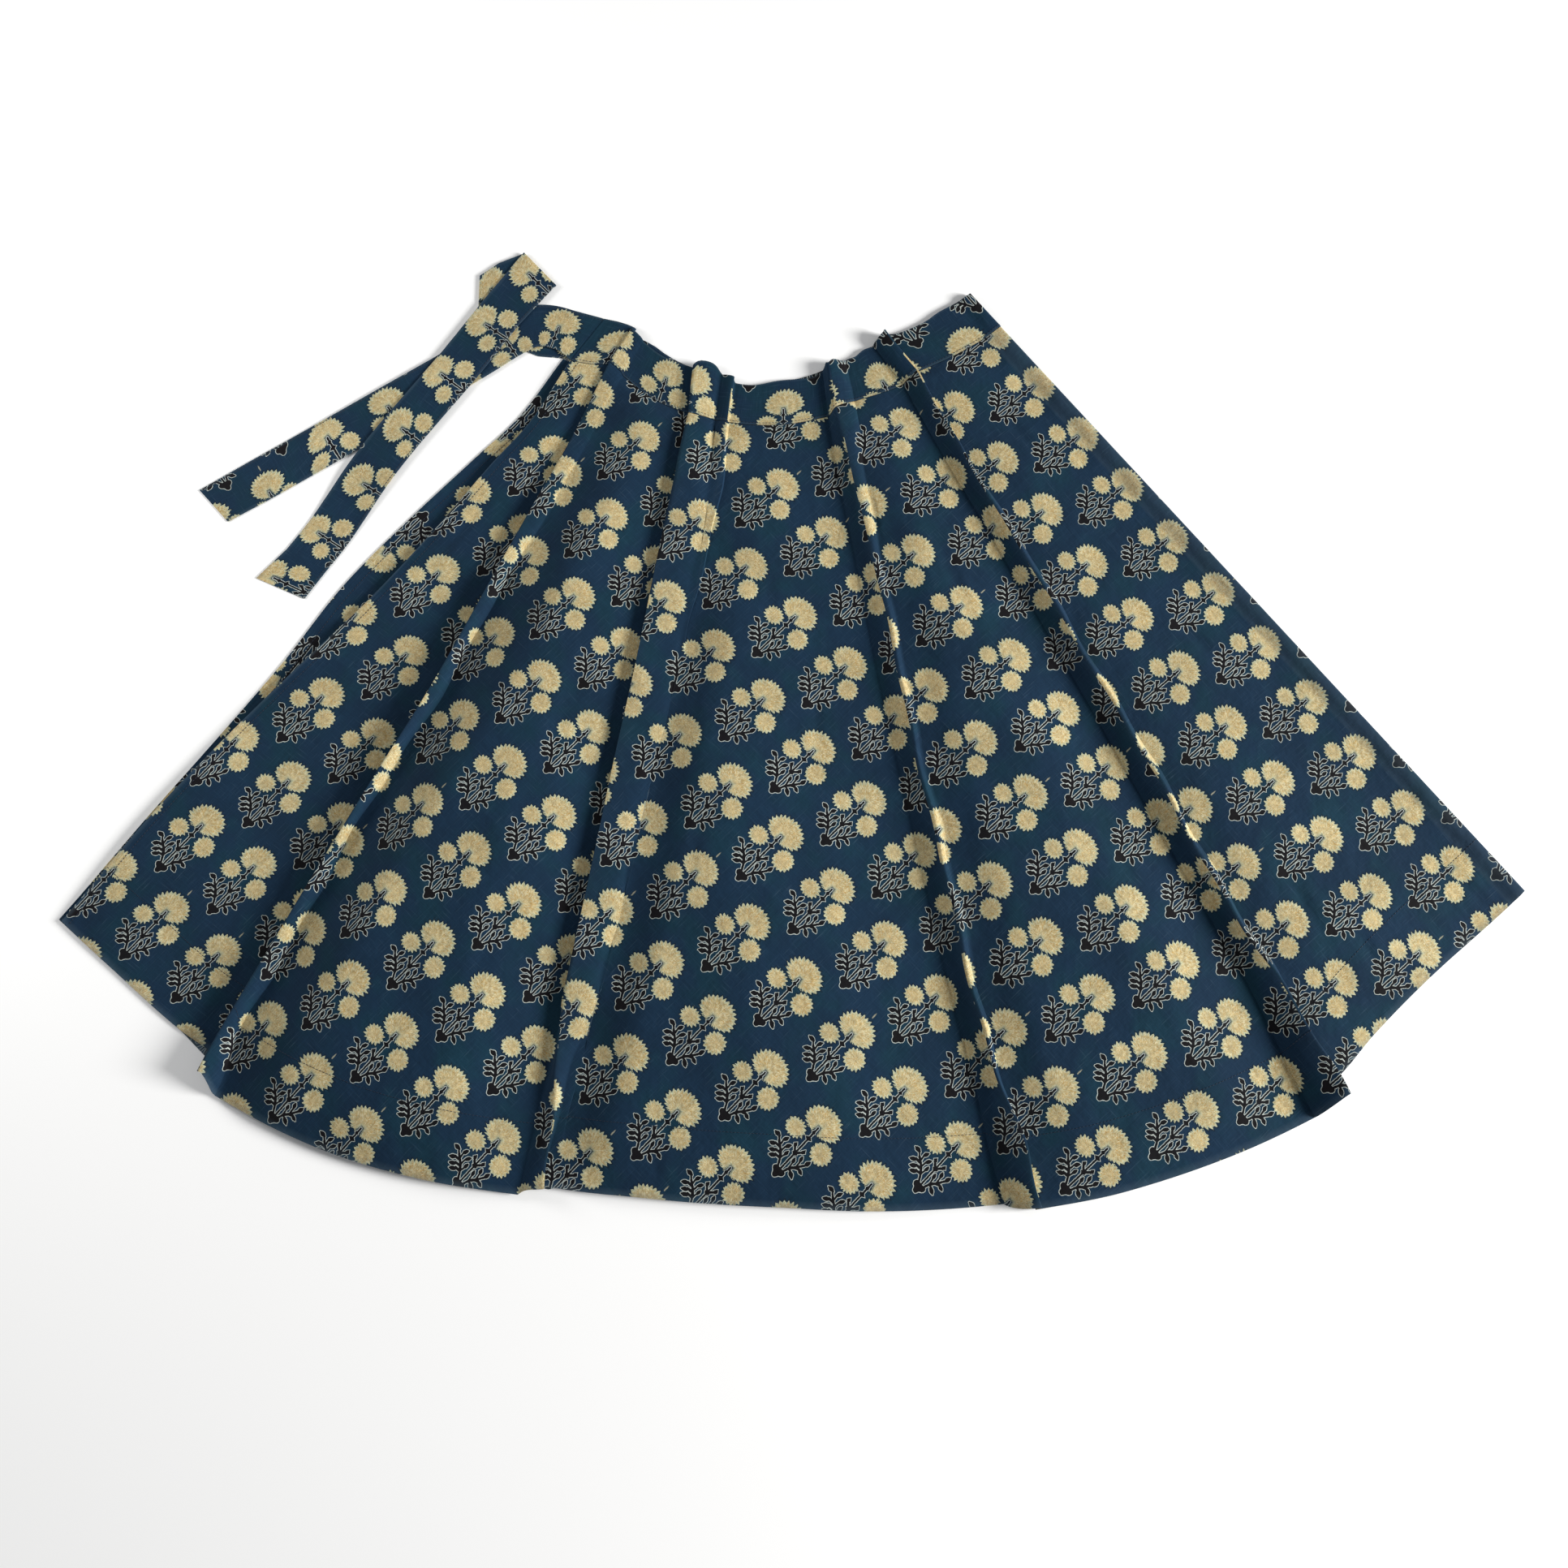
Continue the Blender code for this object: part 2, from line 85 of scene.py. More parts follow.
FOLD_ANGLE = 39.65
FOLD_SHORT = 1.2
FOLD_HEIGHT = 5.4 * MM
FOLD_REACH = 26 * MM
BAND_UNDER_END = -37.3
BAND_OVER_END = -36.0

# How finely the sheets are divided.
PANEL_ROWS = 108
UNDER_COLUMNS = 38
FLUTE_COLUMNS = (24, 20, 12, 20, 20)
FLAT_COLUMNS = (42, 53, 1, 83, 58, 46)
BEND_COLUMNS = 8
SLOPE_COLUMNS = 7
BAND_ROWS = 20
TIE_LINES = 14
OVER_TIE_STEPS = 6
LONG_RUN_STEPS = 5
# How far apart the points along a tie may lie, in mm.
TIE_STEP = 6.0
TURN_STEPS = 8

RIGHT_PLACE = 11.0
FOLD_FOOT_PLACE = 10.85
Width = namedtuple("Width", "place radius")
OVER_HEM = table(
    Width,
    (0.0, 1298), (0.4, 1306), (0.8, 1318), (1.0, 1322), (1.4, 1342), (1.6, 1343), (1.85, 1356),
    (2.0, 1359), (2.4, 1361), (2.7, 1355), (3.0, 1345), (3.5, 1333), (4.0, 1333), (5.0, 1333),
    (6.0, 1330), (6.2, 1326), (6.5, 1327), (6.7, 1334), (7.0, 1344), (7.3, 1352), (8.0, 1356),
    (8.3, 1360), (9.0, 1359), (9.4, 1351), (9.6, 1349), (10.0, 1334), (10.2, 1312), (10.4, 1297),
    (10.6, 1289), (11.0, 1283),
)
OVER_WAIST = table(
    Width,
    (0.0, 436), (0.5, 427), (1.0, 415), (1.5, 413), (2.0, 420), (2.5, 432), (3.0, 436), (4.0, 437),
    (5.0, 437), (6.0, 437), (6.5, 435), (7.0, 427), (8.0, 413), (9.0, 408), (9.5, 401), (10.0, 399),
    (11.0, 402),
)

# The way down from the folded edge's ridge, as shares of its reach and of its height.
Slope = namedtuple("Slope", "reach drop")
RIDGE_SLOPE = table(
    Slope,
    (0.0, 0.0), (0.30, 0.06), (0.48, 0.34), (0.72, 0.80), (1.0, 1.0),
)

# The over half's band: how far its folds run off to the side on the way up, in degrees, and its width in mm.
Band = namedtuple("Band", "place turn width")
OVER_BAND = table(
    Band,
    (0.0, 0.0, 66), (0.5, 0.0, 64), (1.0, 0.0, 55), (1.5, 0.0, 50), (2.2, 0.0, 50), (2.6, -0.7, 55),
    (3.0, -1.7, 57), (3.4, -1.7, 57), (3.6, -1.5, 67), (3.75, -1.2, 68), (4.0, -0.65, 59),
    (5.0, -0.65, 58), (5.6, -0.3, 56), (6.0, -0.1, 50), (6.2, 0.0, 50), (6.5, 0.0, 56),
    (6.9, 0.0, 53), (7.0, 0.0, 57), (7.3, 0.0, 60), (7.45, 0.0, 57), (7.65, 0.0, 58),
    (7.85, 0.0, 53), (8.2, 0.0, 53), (8.5, -0.6, 58), (9.0, -2.6, 58), (9.5, -2.6, 61),
    (9.8, -2.6, 61), (10.0, -2.4, 57), (10.1, -2.0, 54), (10.4, -0.6, 54), (10.6, 0.0, 57),
    (11.0, 0.0, 55),
)

# The under half: its waist and hem radii in millimetres against the angle in degrees.
Rim = namedtuple("Rim", "angle waist hem")
UNDER_RIM = table(
    Rim,
    (-38.4, 440, 1299), (-34.0, 434, 1306), (-30.0, 424, 1319), (-26.0, 422, 1343),
    (-22.0, 428, 1352), (-16.0, 434, 1346), (-11.0, 437, 1328), (-6.5, 442, 1321),
    (-2.0, 436, 1320), (4.0, 427, 1326), (12.0, 412, 1347), (18.0, 408, 1352), (23.0, 402, 1348),
    (27.0, 401, 1324), (31.0, 401, 1294), (35.0, 402, 1285), (39.65, 402, 1283),
)

# The free side edges: angle of each half's left edge against the radius.
Side = namedtuple("Side", "radius under over")
LEFT_EDGES = table(
    Side,
    (430, -37.3, -36.0), (520, -36.7, -35.0), (600, -37.6, -35.5), (700, -38.5, -35.8),
    (820, -39.0, -36.4), (940, -38.5, -37.3), (1060, -38.4, -37.9), (1180, -38.4, -38.2),
    (1300, -38.3, -38.1),
)

# Each flute against the radius: the angles that bound it as seen from above, its height in
# millimetres, and its lean, which is negative when the top rolls over to the left.
Flute = namedtuple("Flute", "radius left right height lean")
FLUTE_1 = table(
    Flute,
    (430, -30.5, -27.32, 2.6, -0.55),
    (520, -29.2, -27.12, 3.4, -0.75),
    (620, -28.7, -27.02, 7, -0.8),
    (740, -28.2, -27.12, 12.5, -0.8),
    (860, -27.9, -27.22, 15.5, -0.8),
    (980, -28.1, -27.52, 14.5, -0.75),
    (1100, -28.2, -27.62, 14, -0.7),
    (1200, -28.2, -27.52, 14.5, -0.62),
    (1280, -28.2, -27.32, 15.5, -0.55),
    (1340, -28.1, -27.02, 19, -0.45),
)
FLUTE_2 = table(
    Flute,
    (430, -15.2, -11, 6, -0.6),
    (480, -14.8, -10.4, 6.5, -0.6),
    (520, -14.4, -9.9, 6.5, -0.6),
    (620, -13.8, -9.6, 6.1, -0.7),
    (740, -13.2, -9.6, 6.8, -0.8),
    (860, -12.9, -9.9, 7.2, -0.8),
    (980, -12.6, -10.1, 7.9, -0.75),
    (1100, -12.4, -10.5, 8.6, -0.6),
    (1200, -12.3, -10.9, 7.3, -0.2),
    (1280, -12.3, -11.2, 7.5, 0.35),
    (1340, -12.3, -11.2, 7.8, 0.6),
)
# The small pleat that lies against the second flute at the waist and dies out below it.
SMALL_PLEAT = table(
    Flute,
    (430, -10.9, -8.9, 4.5, 0.35),
    (480, -10.3, -8.4, 2, 0.25),
    (510, -9.9, -8.3, 0.4, 0.1),
    (535, -9.7, -8.4, 0, 0),
    (600, -9.5, -8.6, 0, 0),
    (700, -9.5, -9.3, 0, 0),
    (1340, -11, -10.9, 0, 0),
)
FLUTE_3 = table(
    Flute,
    (430, 6.75, 11.18, 8, -0.2),
    (520, 7.15, 10.58, 7.2, 0),
    (620, 7.65, 10.38, 6.6, 0.15),
    (740, 8.05, 10.38, 6.6, 0.2),
    (860, 8.55, 10.53, 7, 0.2),
    (980, 8.95, 10.63, 7.5, 0.2),
    (1100, 9.3, 10.88, 8, 0.2),
    (1200, 9.65, 11.08, 9.5, 0.3),
    (1280, 9.75, 11.33, 13.5, 0.45),
    (1340, 9.95, 11.53, 17, 0.55),
)
FLUTE_4 = table(
    Flute,
    (430, 20, 23.1, 9.5, 0.35),
    (520, 21.3, 24, 9.5, 0.3),
    (620, 22.5, 24.7, 9.5, 0.2),
    (740, 23.4, 25.55, 9.8, 0.2),
    (860, 24, 25.9, 10.2, 0.2),
    (980, 24.4, 26.1, 10.6, 0.2),
    (1100, 24.7, 26.3, 11.2, 0.2),
    (1200, 24.9, 26.35, 12.5, 0.3),
    (1280, 24.8, 26.4, 17, 0.5),
    (1340, 24.8, 26.55, 22, 0.6),
)
FLUTES = (FLUTE_1, FLUTE_2, SMALL_PLEAT, FLUTE_3, FLUTE_4)
FIRST_RADIUS = 430.0
LAST_RADIUS = 1340.0

# Soft rises of the parts between the flutes: height, how wide the way up on the left is, how wide the
# way down to the next flute is, the height at the left end, all in mm, and the share kept at the right end.
Swell = namedtuple("Swell", "height up down start kept")
SWELLS = table(
    Swell,
    (0.5, 100, 34, 4.5, 0.0),
    (30.0, 76, 110, 5.0, 0.3),
    (13.0, 50, 0, 13.0, 1.0),
    (25.0, 58, 240, 13.0, 0.0),
    (15.5, 55, 100, 8.0, 0.0),
    (10.5, 45, 190, 8.0, 0.0),
)
SWELL_GROWTH = 0.2
SWELL_AT_HEM = 0.8
SWELL_HEM_POWER = 13

# The flutes' cross-sections: how softly each leaves its foot, and how much its lean is kept for the top.
FLUTE_ROUNDNESS = (1.5, 1.8, 1.5, 0.9, 0.9)
LEAN_CURVE = 2.6
# How far a flute's edge wanders from its smooth line, in degrees, and how fast, in mm.
WAVER = 0.22
WAVER_LENGTH = 26.0
WAVER_BEAT = 61.0
WAVER_PHASE = 2.1

# ---------------------------------------------------------------- shape of the ties

# Centre line of the over tie: position and level in millimetres, measured from the apex.
Station = namedtuple("Station", "x y level")
TIE_OVER_LINE = table(
    Station,
    (-262.0, -314.0, 3.4),
    (-284.0, -307.5, 2.6),
    (-306.0, -308.5, 2.05),
    (-332.0, -322.0, 2.0),
    (-364.0, -344.0, 2.0),
    (-400.0, -367.5, 2.0),
    (-460.0, -405.0, 1.8),
    (-520.0, -442.5, 1.2),
    (-570.0, -473.5, 0.58),
    (-620.0, -504.5, 0.58),
)
TIE_OVER_END = ((-651.5, -554.3), (-687.5, -515.3))

# The under tie: two short turned-back runs near the band, then the long free run on top.
FIRST_RUN = table(
    Station,
    (-285.0, -321.0, 0.58),
    (-328.0, -302.0, 0.58),
)
LONG_RUN = table(
    Station,
    (-341.5, -290.3, 3.5),
    (-389.5, -358.5, 3.5),
    (-434.0, -417.0, 3.5),
    (-466.0, -460.0, 3.4),
    (-492.0, -499.0, 3.0),
    (-514.0, -536.0, 1.4),
    (-534.0, -569.0, 0.58),
    (-558.0, -603.0, 0.58),
)
LONG_RUN_END = ((-613.5, -623.3), (-556.5, -648.3))
SIDE_FOLD_X = -368.5
SIDE_FOLD = (-241.0, -312.0)
SECOND_RUN = ((-347.0, -225.0), (-323.0, -283.6))
TOP_FOLD = ((-317.5, -212.3), (-277.5, -255.3))
FIRST_LEVEL = 0.58
SECOND_LEVEL = 2.0
THIRD_LEVEL = 3.5

# Where the print stands along each tie: what is added to the coordinate along it, and the up coordinate
# at the edge that the bouquets stand on, in mm, against the length from the waistband.
TiePrint = namedtuple("TiePrint", "length shift rise")
TIE_OVER_PRINT = table(
    TiePrint,
    (38.0, 284.0, 35.6), (105.0, 269.8, 40.0), (267.0, 267.9, 35.6), (346.0, 265.5, 30.6),
    (400.0, 275.0, 50.0), (437.0, 274.6, 55.0), (475.0, 268.0, 54.5),
)
TIE_UNDER_PRINT = table(
    TiePrint,
    (212.0, 313.6, 31.4), (312.0, 313.6, 31.0), (394.0, 313.7, 27.3), (475.0, 313.1, 35.6),
    (556.0, 312.4, 39.7), (633.0, 307.8, 27.3), (704.0, 296.4, 23.1),
)

# ---------------------------------------------------------------- how the print lies on the cloth

REPEAT_ACROSS = 81.7
REPEAT_UP = 96.0
ROW_SHIFT = 0.469 * REPEAT_ACROSS

# The print's own axes in each part of the laid cloth: where its zero point lies (mm), and the turn
# (degrees) and stretch of its across and up directions.
PrintPlace = namedtuple("PrintPlace", "x y across_turn across_stretch up_turn up_stretch")
PRINT_PLACES = table(
    PrintPlace,
    (-610.4, -141.0, -37.79, 0.938, 48.22, 1.011),
    (-432.9, -322.6, -45.40, 0.959, 46.94, 0.982),
    (-130.5, -402.6, -45.74, 0.996, 45.71, 0.996),
    (320.1, -279.5, -48.99, 1.006, 42.80, 1.006),
    (537.3, -39.4, -52.18, 0.992, 40.37, 0.984),
)
# Which of them each flat part between the flutes takes.
PART_PRINTS = (0, 1, 2, 2, 3, 4)
# The part whose print moves left by what the small pleat takes up.
LEFT_OF_PLEAT = 2

# Where the print stands on each part of the band between the flutes: its across coordinate at the
# part's left end and its up coordinate at the seam, in mm.
BandPrint = namedtuple("BandPrint", "start rise")
BAND_PRINTS = table(
    BandPrint,
    (-33.6, 42.0), (-49.0, 34.0), (-49.0, 38.0), (-60.2, 45.5), (-38.4, 52.5), (-63.0, 63.0),
)

# The under half's turned side hem: how many columns it takes, its material slot, and where the print
# stands on it, in mm.
SIDE_HEM_COLUMNS = 2
TURNED_SLOT = 2
SIDE_HEM_PRINT = (8.9, 692.0)

# How pale the cloth is made, from 0 to 1: real wear at the hem, the free side and the edges of the band
# and ties; painted highlight on the folded edge and along the flutes' crests, with the crests' width as a
# share of the flute's foot.
HEM_WEAR = 1.0
SIDE_WEAR = 0.9
FOLD_PAINTED_HIGHLIGHT = 0.45
EDGE_WEAR = 0.8
CREST_PAINTED_HIGHLIGHT = 0.15
CREST_HIGHLIGHT_WIDTH = 0.12
# The cloth is shaded smooth except over edges that turn more than this, in degrees.
SHARP_ANGLE = 50.0

# ---------------------------------------------------------------- curves and grids


def smooth_values(rows, key, column, where):
    """A table's column joined by smooth curves, at any number of places."""
    keys, values = (np.array([getattr(row, name) for row in rows], float) for name in (key, column))
    where = np.clip(np.asarray(where, float), keys[0], keys[-1])
    index = np.clip(np.searchsorted(keys, where, side="right") - 1, 0, len(keys) - 2)
    span = keys[index + 1] - keys[index]
    slopes = []
    for at in (index, index + 1):
        low = np.maximum(at - 1, 0)
        high = np.minimum(at + 1, len(keys) - 1)
        slopes.append((values[high] - values[low]) / (keys[high] - keys[low]) * span)
    s = (where - keys[index]) / span
    rise = s * s * (3 - 2 * s)
    middle = values[index] * (1 - rise) + values[index + 1] * rise
    return middle + slopes[0] * s * (1 - s) ** 2 - slopes[1] * s * s * (1 - s)


def on_cone(radius, angle):
    """Plan position at a radius in metres and an angle in degrees."""
    turn = np.radians(angle)
    return APEX[0] + radius * np.sin(turn), APEX[1] - radius * np.cos(turn)


def bump_curve(x):
    """A soft hump: one at zero, nothing from one outwards."""
    return np.where(np.abs(x) < 1, (1 - np.minimum(np.abs(x), 1) ** 2) ** 2, 0.0)


def flute_rise(part, roundness):
    """How high a flute stands at each share of its foot: a rounded hill with a broad top."""
    return np.maximum(np.sin(math.pi * np.clip(part, 0, 1)), 0.0) ** roundness


def leaned(lean, roundness):
    """Shares across a flute's foot, and how far across each of them lies once the top leans over."""
    part = np.linspace(0, 1, 101)
    return part, part + np.abs(lean) * flute_rise(part, roundness) ** LEAN_CURVE


def lean_reach(lean, roundness):
    """How wide a flute of foot width one looks from above, for its lean."""
    return np.maximum(1.0, leaned(lean, roundness)[1].max(axis=-1, keepdims=True))


def crest_share(lean, roundness):
    """The share of a flute's foot at which its outermost line lies, where the view from above ends."""
    part, seen = leaned(lean, roundness)
    crest = np.where(seen.max(axis=-1, keepdims=True) > 1, part[seen.argmax(axis=-1)][:, None], 0.5)
    return np.where(lean < 0, 1 - crest, crest)


def flute_at(number, radius):
    """Angles of a flute's two feet, its height and its sideways lean in degrees, down the rows."""
    rows = FLUTES[number]
    columns = ("left", "right", "height", "lean")
    left, right, height, lean = (smooth_values(rows, "radius", name, radius) for name in columns)
    waver = WAVER * np.sin(radius / WAVER_LENGTH + WAVER_PHASE * number)
    right = right + waver * np.sin(radius / WAVER_BEAT + number)
    foot = (right - left) / lean_reach(lean, FLUTE_ROUNDNESS[number])
    left = np.where(lean < 0, right - foot, left)
    return left, left + foot, height * MM, lean * foot


def table_radius(down):
    """The radius in millimetres that the flutes' tables are read at."""
    return FIRST_RADIUS + down * (LAST_RADIUS - FIRST_RADIUS)


def over_level(down):
    """Height of the over half's flat parts: a little higher at the thick waist."""
    return OVER_LEVEL + WAIST_LIFT * np.maximum(0.0, 1 - down / WAIST_LIFT_SHARE) ** 2


class Columns:
    """The columns of a sheet, gathered from left to right; each value is a rows-by-columns array."""

    NAMES = ("place", "angle", "height", "flute", "part", "swell")

    def __init__(self, rows):
        self.rows = rows
        self.found = {name: [] for name in self.NAMES}

    def add(self, **values):
        shape = np.broadcast_shapes(*(np.shape(value) for value in values.values()))
        for name in self.NAMES:
            value = values.get(name, 0.0)
            self.found[name].append(np.broadcast_to(value, (self.rows, shape[-1])).astype(float))

    def done(self):
        return {name: np.concatenate(parts, axis=1) for name, parts in self.found.items()}


def soft_step(x):
    x = np.clip(x, 0, 1)
    return x * x * (3 - 2 * x)


def swell_height(swell, part, start, end, overhang, radius):
    """Height of a flat part's soft rise: up from its left end and down again to the next flute's edge."""
    reach = np.radians(part * (end - start)) * radius
    left_over = np.radians((1 - part) * (end - start) - overhang) * radius
    height = swell.start + (swell.height - swell.start) * soft_step(reach / swell.up)
    if swell.down:
        height = height * (swell.kept + (1 - swell.kept) * soft_step(left_over / swell.down))
    return height * MM


def over_half(down, swelling):
    """Columns of the over half, from its left edge to the foot of the folded edge."""
    radius = table_radius(down)
    level = over_level(down)
    growth = swelling * down**SWELL_GROWTH * (1 - SWELL_AT_HEM * down**SWELL_HEM_POWER)
    columns = Columns(len(down))
    start = smooth_values(LEFT_EDGES, "radius", "over", radius)
    for zone, count in enumerate(FLAT_COLUMNS):
        last = zone == len(FLUTES)
        overhang = 0.0
        if last:
            left = FOLD_ANGLE - np.degrees(FOLD_REACH / (radius * MM))
        else:
            left, right, height, lean = flute_at(zone, radius)
            overhang = left - smooth_values(FLUTES[zone], "radius", "left", radius)
        part = np.arange(count + last)[None, :] / count
        last_place = FOLD_FOOT_PLACE if last else 2 * zone + 1
        columns.add(
            place=2 * zone + part * (last_place - 2 * zone),
            angle=start + part * (left - start),
            height=level + growth * swell_height(SWELLS[zone], part, start, left, overhang, radius),
            flute=2.0 * zone,
            part=part,
        )
        if last:
            return columns.done()
        before = swell_height(SWELLS[zone], 1.0, start, left, overhang, radius)
        after = SWELLS[zone + 1].start * MM
        part = np.arange(FLUTE_COLUMNS[zone])[None, :] / FLUTE_COLUMNS[zone]
        rise = flute_rise(part, FLUTE_ROUNDNESS[zone])
        base = before + (after - before) * soft_step(part)
        columns.add(
            place=2 * zone + 1 + part,
            angle=left + part * (right - left) + lean * rise**LEAN_CURVE,
            height=level + growth * base + height * rise,
            flute=2.0 * zone + 1,
            part=part,
        )
        start = right


def folded_edge(down, low, high):
    """Columns from the over half's foot over the ridge and round the folded edge to the under half."""
    per_metre = np.degrees(1 / (table_radius(down) * MM))
    ridge = low + FOLD_HEIGHT
    bend = FOLD_HEIGHT / 2
    columns = Columns(len(down))
    reach = 1 - np.arange(1, SLOPE_COLUMNS)[None, :] / SLOPE_COLUMNS
    drop = smooth_values(RIDGE_SLOPE, "reach", "drop", reach)
    columns.add(
        place=RIGHT_PLACE - (RIGHT_PLACE - FOLD_FOOT_PLACE) * reach,
        angle=FOLD_ANGLE - per_metre * (bend + (FOLD_REACH - bend) * reach),
        height=ridge - (ridge - high) * drop,
    )
    turn = math.pi * (1 - np.arange(BEND_COLUMNS + 1)[None, :] / BEND_COLUMNS)
    columns.add(
        place=RIGHT_PLACE,
        angle=FOLD_ANGLE - per_metre * bend * (1 - np.sin(turn)),
        height=low + bend * (1 - np.cos(turn)),
    )
    return columns.done()


def under_half(left, level, rows):
    """Columns of the under half, from just short of the fold back to its left edge."""
    end = FOLD_ANGLE - FOLD_SHORT
    share = np.arange(UNDER_COLUMNS)[None, :] / (UNDER_COLUMNS - 1)
    columns = Columns(rows)
    columns.add(angle=end + share * (left - end), height=level)
    return columns.done()


def arc_lengths(angle, height, radius):
    """Length along each row from its first column, over the flutes and round the folds."""
    run = np.radians(np.diff(angle, axis=1)) * (radius[:, 1:] + radius[:, :-1]) / 2
    step = np.hypot(run, np.diff(height, axis=1))
    return np.concatenate([np.zeros((len(angle), 1)), np.cumsum(step, axis=1)], axis=1)


def print_coordinates(x, y, place):
    """Flat print coordinates of plan positions, for one print place."""
    across = math.radians(place.across_turn)
    up = math.radians(place.up_turn)
    a = np.array((math.cos(across), math.sin(across))) * place.across_stretch
    b = np.array((math.cos(up), math.sin(up))) * place.up_stretch
    scale = a[0] * b[1] - a[1] * b[0]
    dx = x - place.x * MM
    dy = y - place.y * MM
    return np.stack([(dx * b[1] - dy * b[0]) / scale, (a[0] * dy - a[1] * dx) / scale], axis=-1)


def grid_normals(points):
    """Unit normals of a grid of points, facing the side from which columns run right and rows down."""
    down = np.gradient(points, axis=0)
    right = np.gradient(points, axis=1)
    normal = np.cross(down, right)
    return normal / np.maximum(np.linalg.norm(normal, axis=-1, keepdims=True), 1e-12)


def grid_corners(shape):
    """The four points of each face of a grid, counted round it."""
    index = np.arange(shape[0] * shape[1]).reshape(shape[:2])
    return np.stack([index[:-1, :-1], index[1:, :-1], index[1:, 1:], index[:-1, 1:]], axis=-1)


def sheet_mesh(name, points, prints, wear):
    """A grid made a mesh. Each face takes its print from the left-hand or right-hand coordinates."""
    uv_left, uv_right, from_left = prints
    corners = grid_corners(points.shape)
    chosen = np.where(from_left[:, :, None], 0, 1)
    both = np.stack([uv_left.reshape(-1, 2), uv_right.reshape(-1, 2)])
    loops = both[np.broadcast_to(chosen, corners.shape), corners]
    mesh = bpy.data.meshes.new(name)
    mesh.from_pydata(points.reshape(-1, 3).tolist(), [], corners.reshape(-1, 4).tolist())
    layer = mesh.uv_layers.new(name=UV_NAME)
    layer.data.foreach_set("uv", loops.reshape(-1).astype(np.float32))
    # Paleness at each point: wear, and painted highlight on the folded edge and crests.
    paled = mesh.attributes.new(WEAR_AND_HIGHLIGHT_NAME, "FLOAT", "POINT")
    paled.data.foreach_set("value", wear.reshape(-1).astype(np.float32))
    mesh.update()
    return mesh


def link_object(name, data):
    """A new object in the scene that shows a mesh, a lamp or a camera."""
    piece = bpy.data.objects.new(name, data)
    bpy.context.scene.collection.objects.link(piece)
    return piece


def select_only(piece):
    bpy.ops.object.select_all(action="DESELECT")
    piece.select_set(True)
    bpy.context.view_layer.objects.active = piece


def give_thickness(piece, thickness, face, back):
    """Makes a sheet a closed cloth with its face and back; the turned slot shows the face both ways."""
    for material in (face, back, face, face):
        piece.data.materials.append(material)
    wall = piece.modifiers.new("cloth", "SOLIDIFY")
    wall.thickness = thickness
    wall.offset = 0.0
    wall.use_quality_normals = True
    wall.material_offset = 1
    select_only(piece)
    bpy.ops.object.modifier_apply(modifier=wall.name)
    bpy.ops.object.shade_smooth_by_angle(angle=math.radians(SHARP_ANGLE))


# ---------------------------------------------------------------- creases

# Soft troughs (negative) and ridges of the over half, in mm and degrees: two ends, height and half width.
Crease = namedtuple("Crease", "radius_1 angle_1 radius_2 angle_2 height width")
CREASES = table(
    Crease,
    (1223, -35.5, 1292, -37.3, 1.4, 9),
    (1155, -33.3, 1240, -36.0, -0.7, 5),
    (1150, -32.2, 1244, -35.0, -0.6, 5),
    (1085, -33.6, 1180, -36.4, -0.5, 6),
    (1250, -7.4, 1330, -5.2, -1.3, 8),
    (1225, -6.9, 1296, -4.5, -0.7, 5),
    (1255, -5.2, 1312, -2.5, -0.7, 5),
    (1240, -3.4, 1300, -0.8, 0.6, 6),
    (1235, -24.8, 1335, -26.7, -1.9, 13),
    (1180, -24.6, 1290, -25.3, 0.9, 10),
    (430, -11.2, 492, -10.5, -1.2, 6),
    (510, 10.9, 610, 10.5, -1.0, 5),
    (905, 10.8, 960, 11.0, -1.0, 5),
    (1165, 38.3, 1285, 37.9, 1.0, 7),
    (1160, 37.2, 1262, 36.9, -0.9, 6),
    (1175, 36.0, 1270, 35.4, 0.7, 7),
    (700, -17.5, 990, -17.9, -1.8, 17),
    (1040, -17.0, 1230, -17.5, -1.6, 14),
    (720, 2.7, 870, 2.2, -1.2, 11),
    (560, 16.6, 760, 17.6, -1.2, 12),
    (1090, 29.9, 1230, 29.5, -1.6, 9),
    (1190, 31.4, 1292, 31.0, -1.6, 8),
    (1215, 37.6, 1290, 37.7, -1.2, 7),
    (600, -33.2, 760, -34.0, -1.1, 9),
    (620, -1.4, 760, -2.6, -0.9, 10),
    (880, -5.6, 1010, -6.6, -0.9, 12),
    (1010, 4.8, 1150, 5.9, -0.9, 13),
    (960, 20.8, 1110, 21.9, -1.0, 12),
    (470, 31.4, 600, 32.3, -0.9, 9),
    (770, 33.6, 930, 34.4, -1.0, 11),
)
# Faint ones of the under half, which lies flat: they only rise.
UNDER_CREASES = table(
    Crease,
    (560, -20.0, 820, -21.5, 0.35, 12),
    (900, -9.0, 1180, -7.8, 0.35, 15),
    (620, 6.0, 880, 7.5, 0.35, 12),
    (980, 19.0, 1240, 20.5, 0.35, 14),
    (640, 29.0, 900, 30.0, 0.35, 11),
    (1080, -29.0, 1260, -30.5, 0.35, 12),
)


def crease_heights(radius, angle, creases):
    """Summed height of the creases at places on the cone."""
    x, y = on_cone(radius, angle)
    total = np.zeros_like(x)
    for crease in creases:
        x1, y1 = on_cone(crease.radius_1 * MM, crease.angle_1)
        x2, y2 = on_cone(crease.radius_2 * MM, crease.angle_2)
        length = math.hypot(x2 - x1, y2 - y1)
        along_x, along_y = (x2 - x1) / length, (y2 - y1) / length
        along = ((x - x1) * along_x + (y - y1) * along_y) / length
        across = ((x - x1) * along_y - (y - y1) * along_x) / (crease.width * MM)
        total += crease.height * MM * bump_curve(across) * bump_curve(2 * along - 1)
    return total


# ---------------------------------------------------------------- the panel's grid


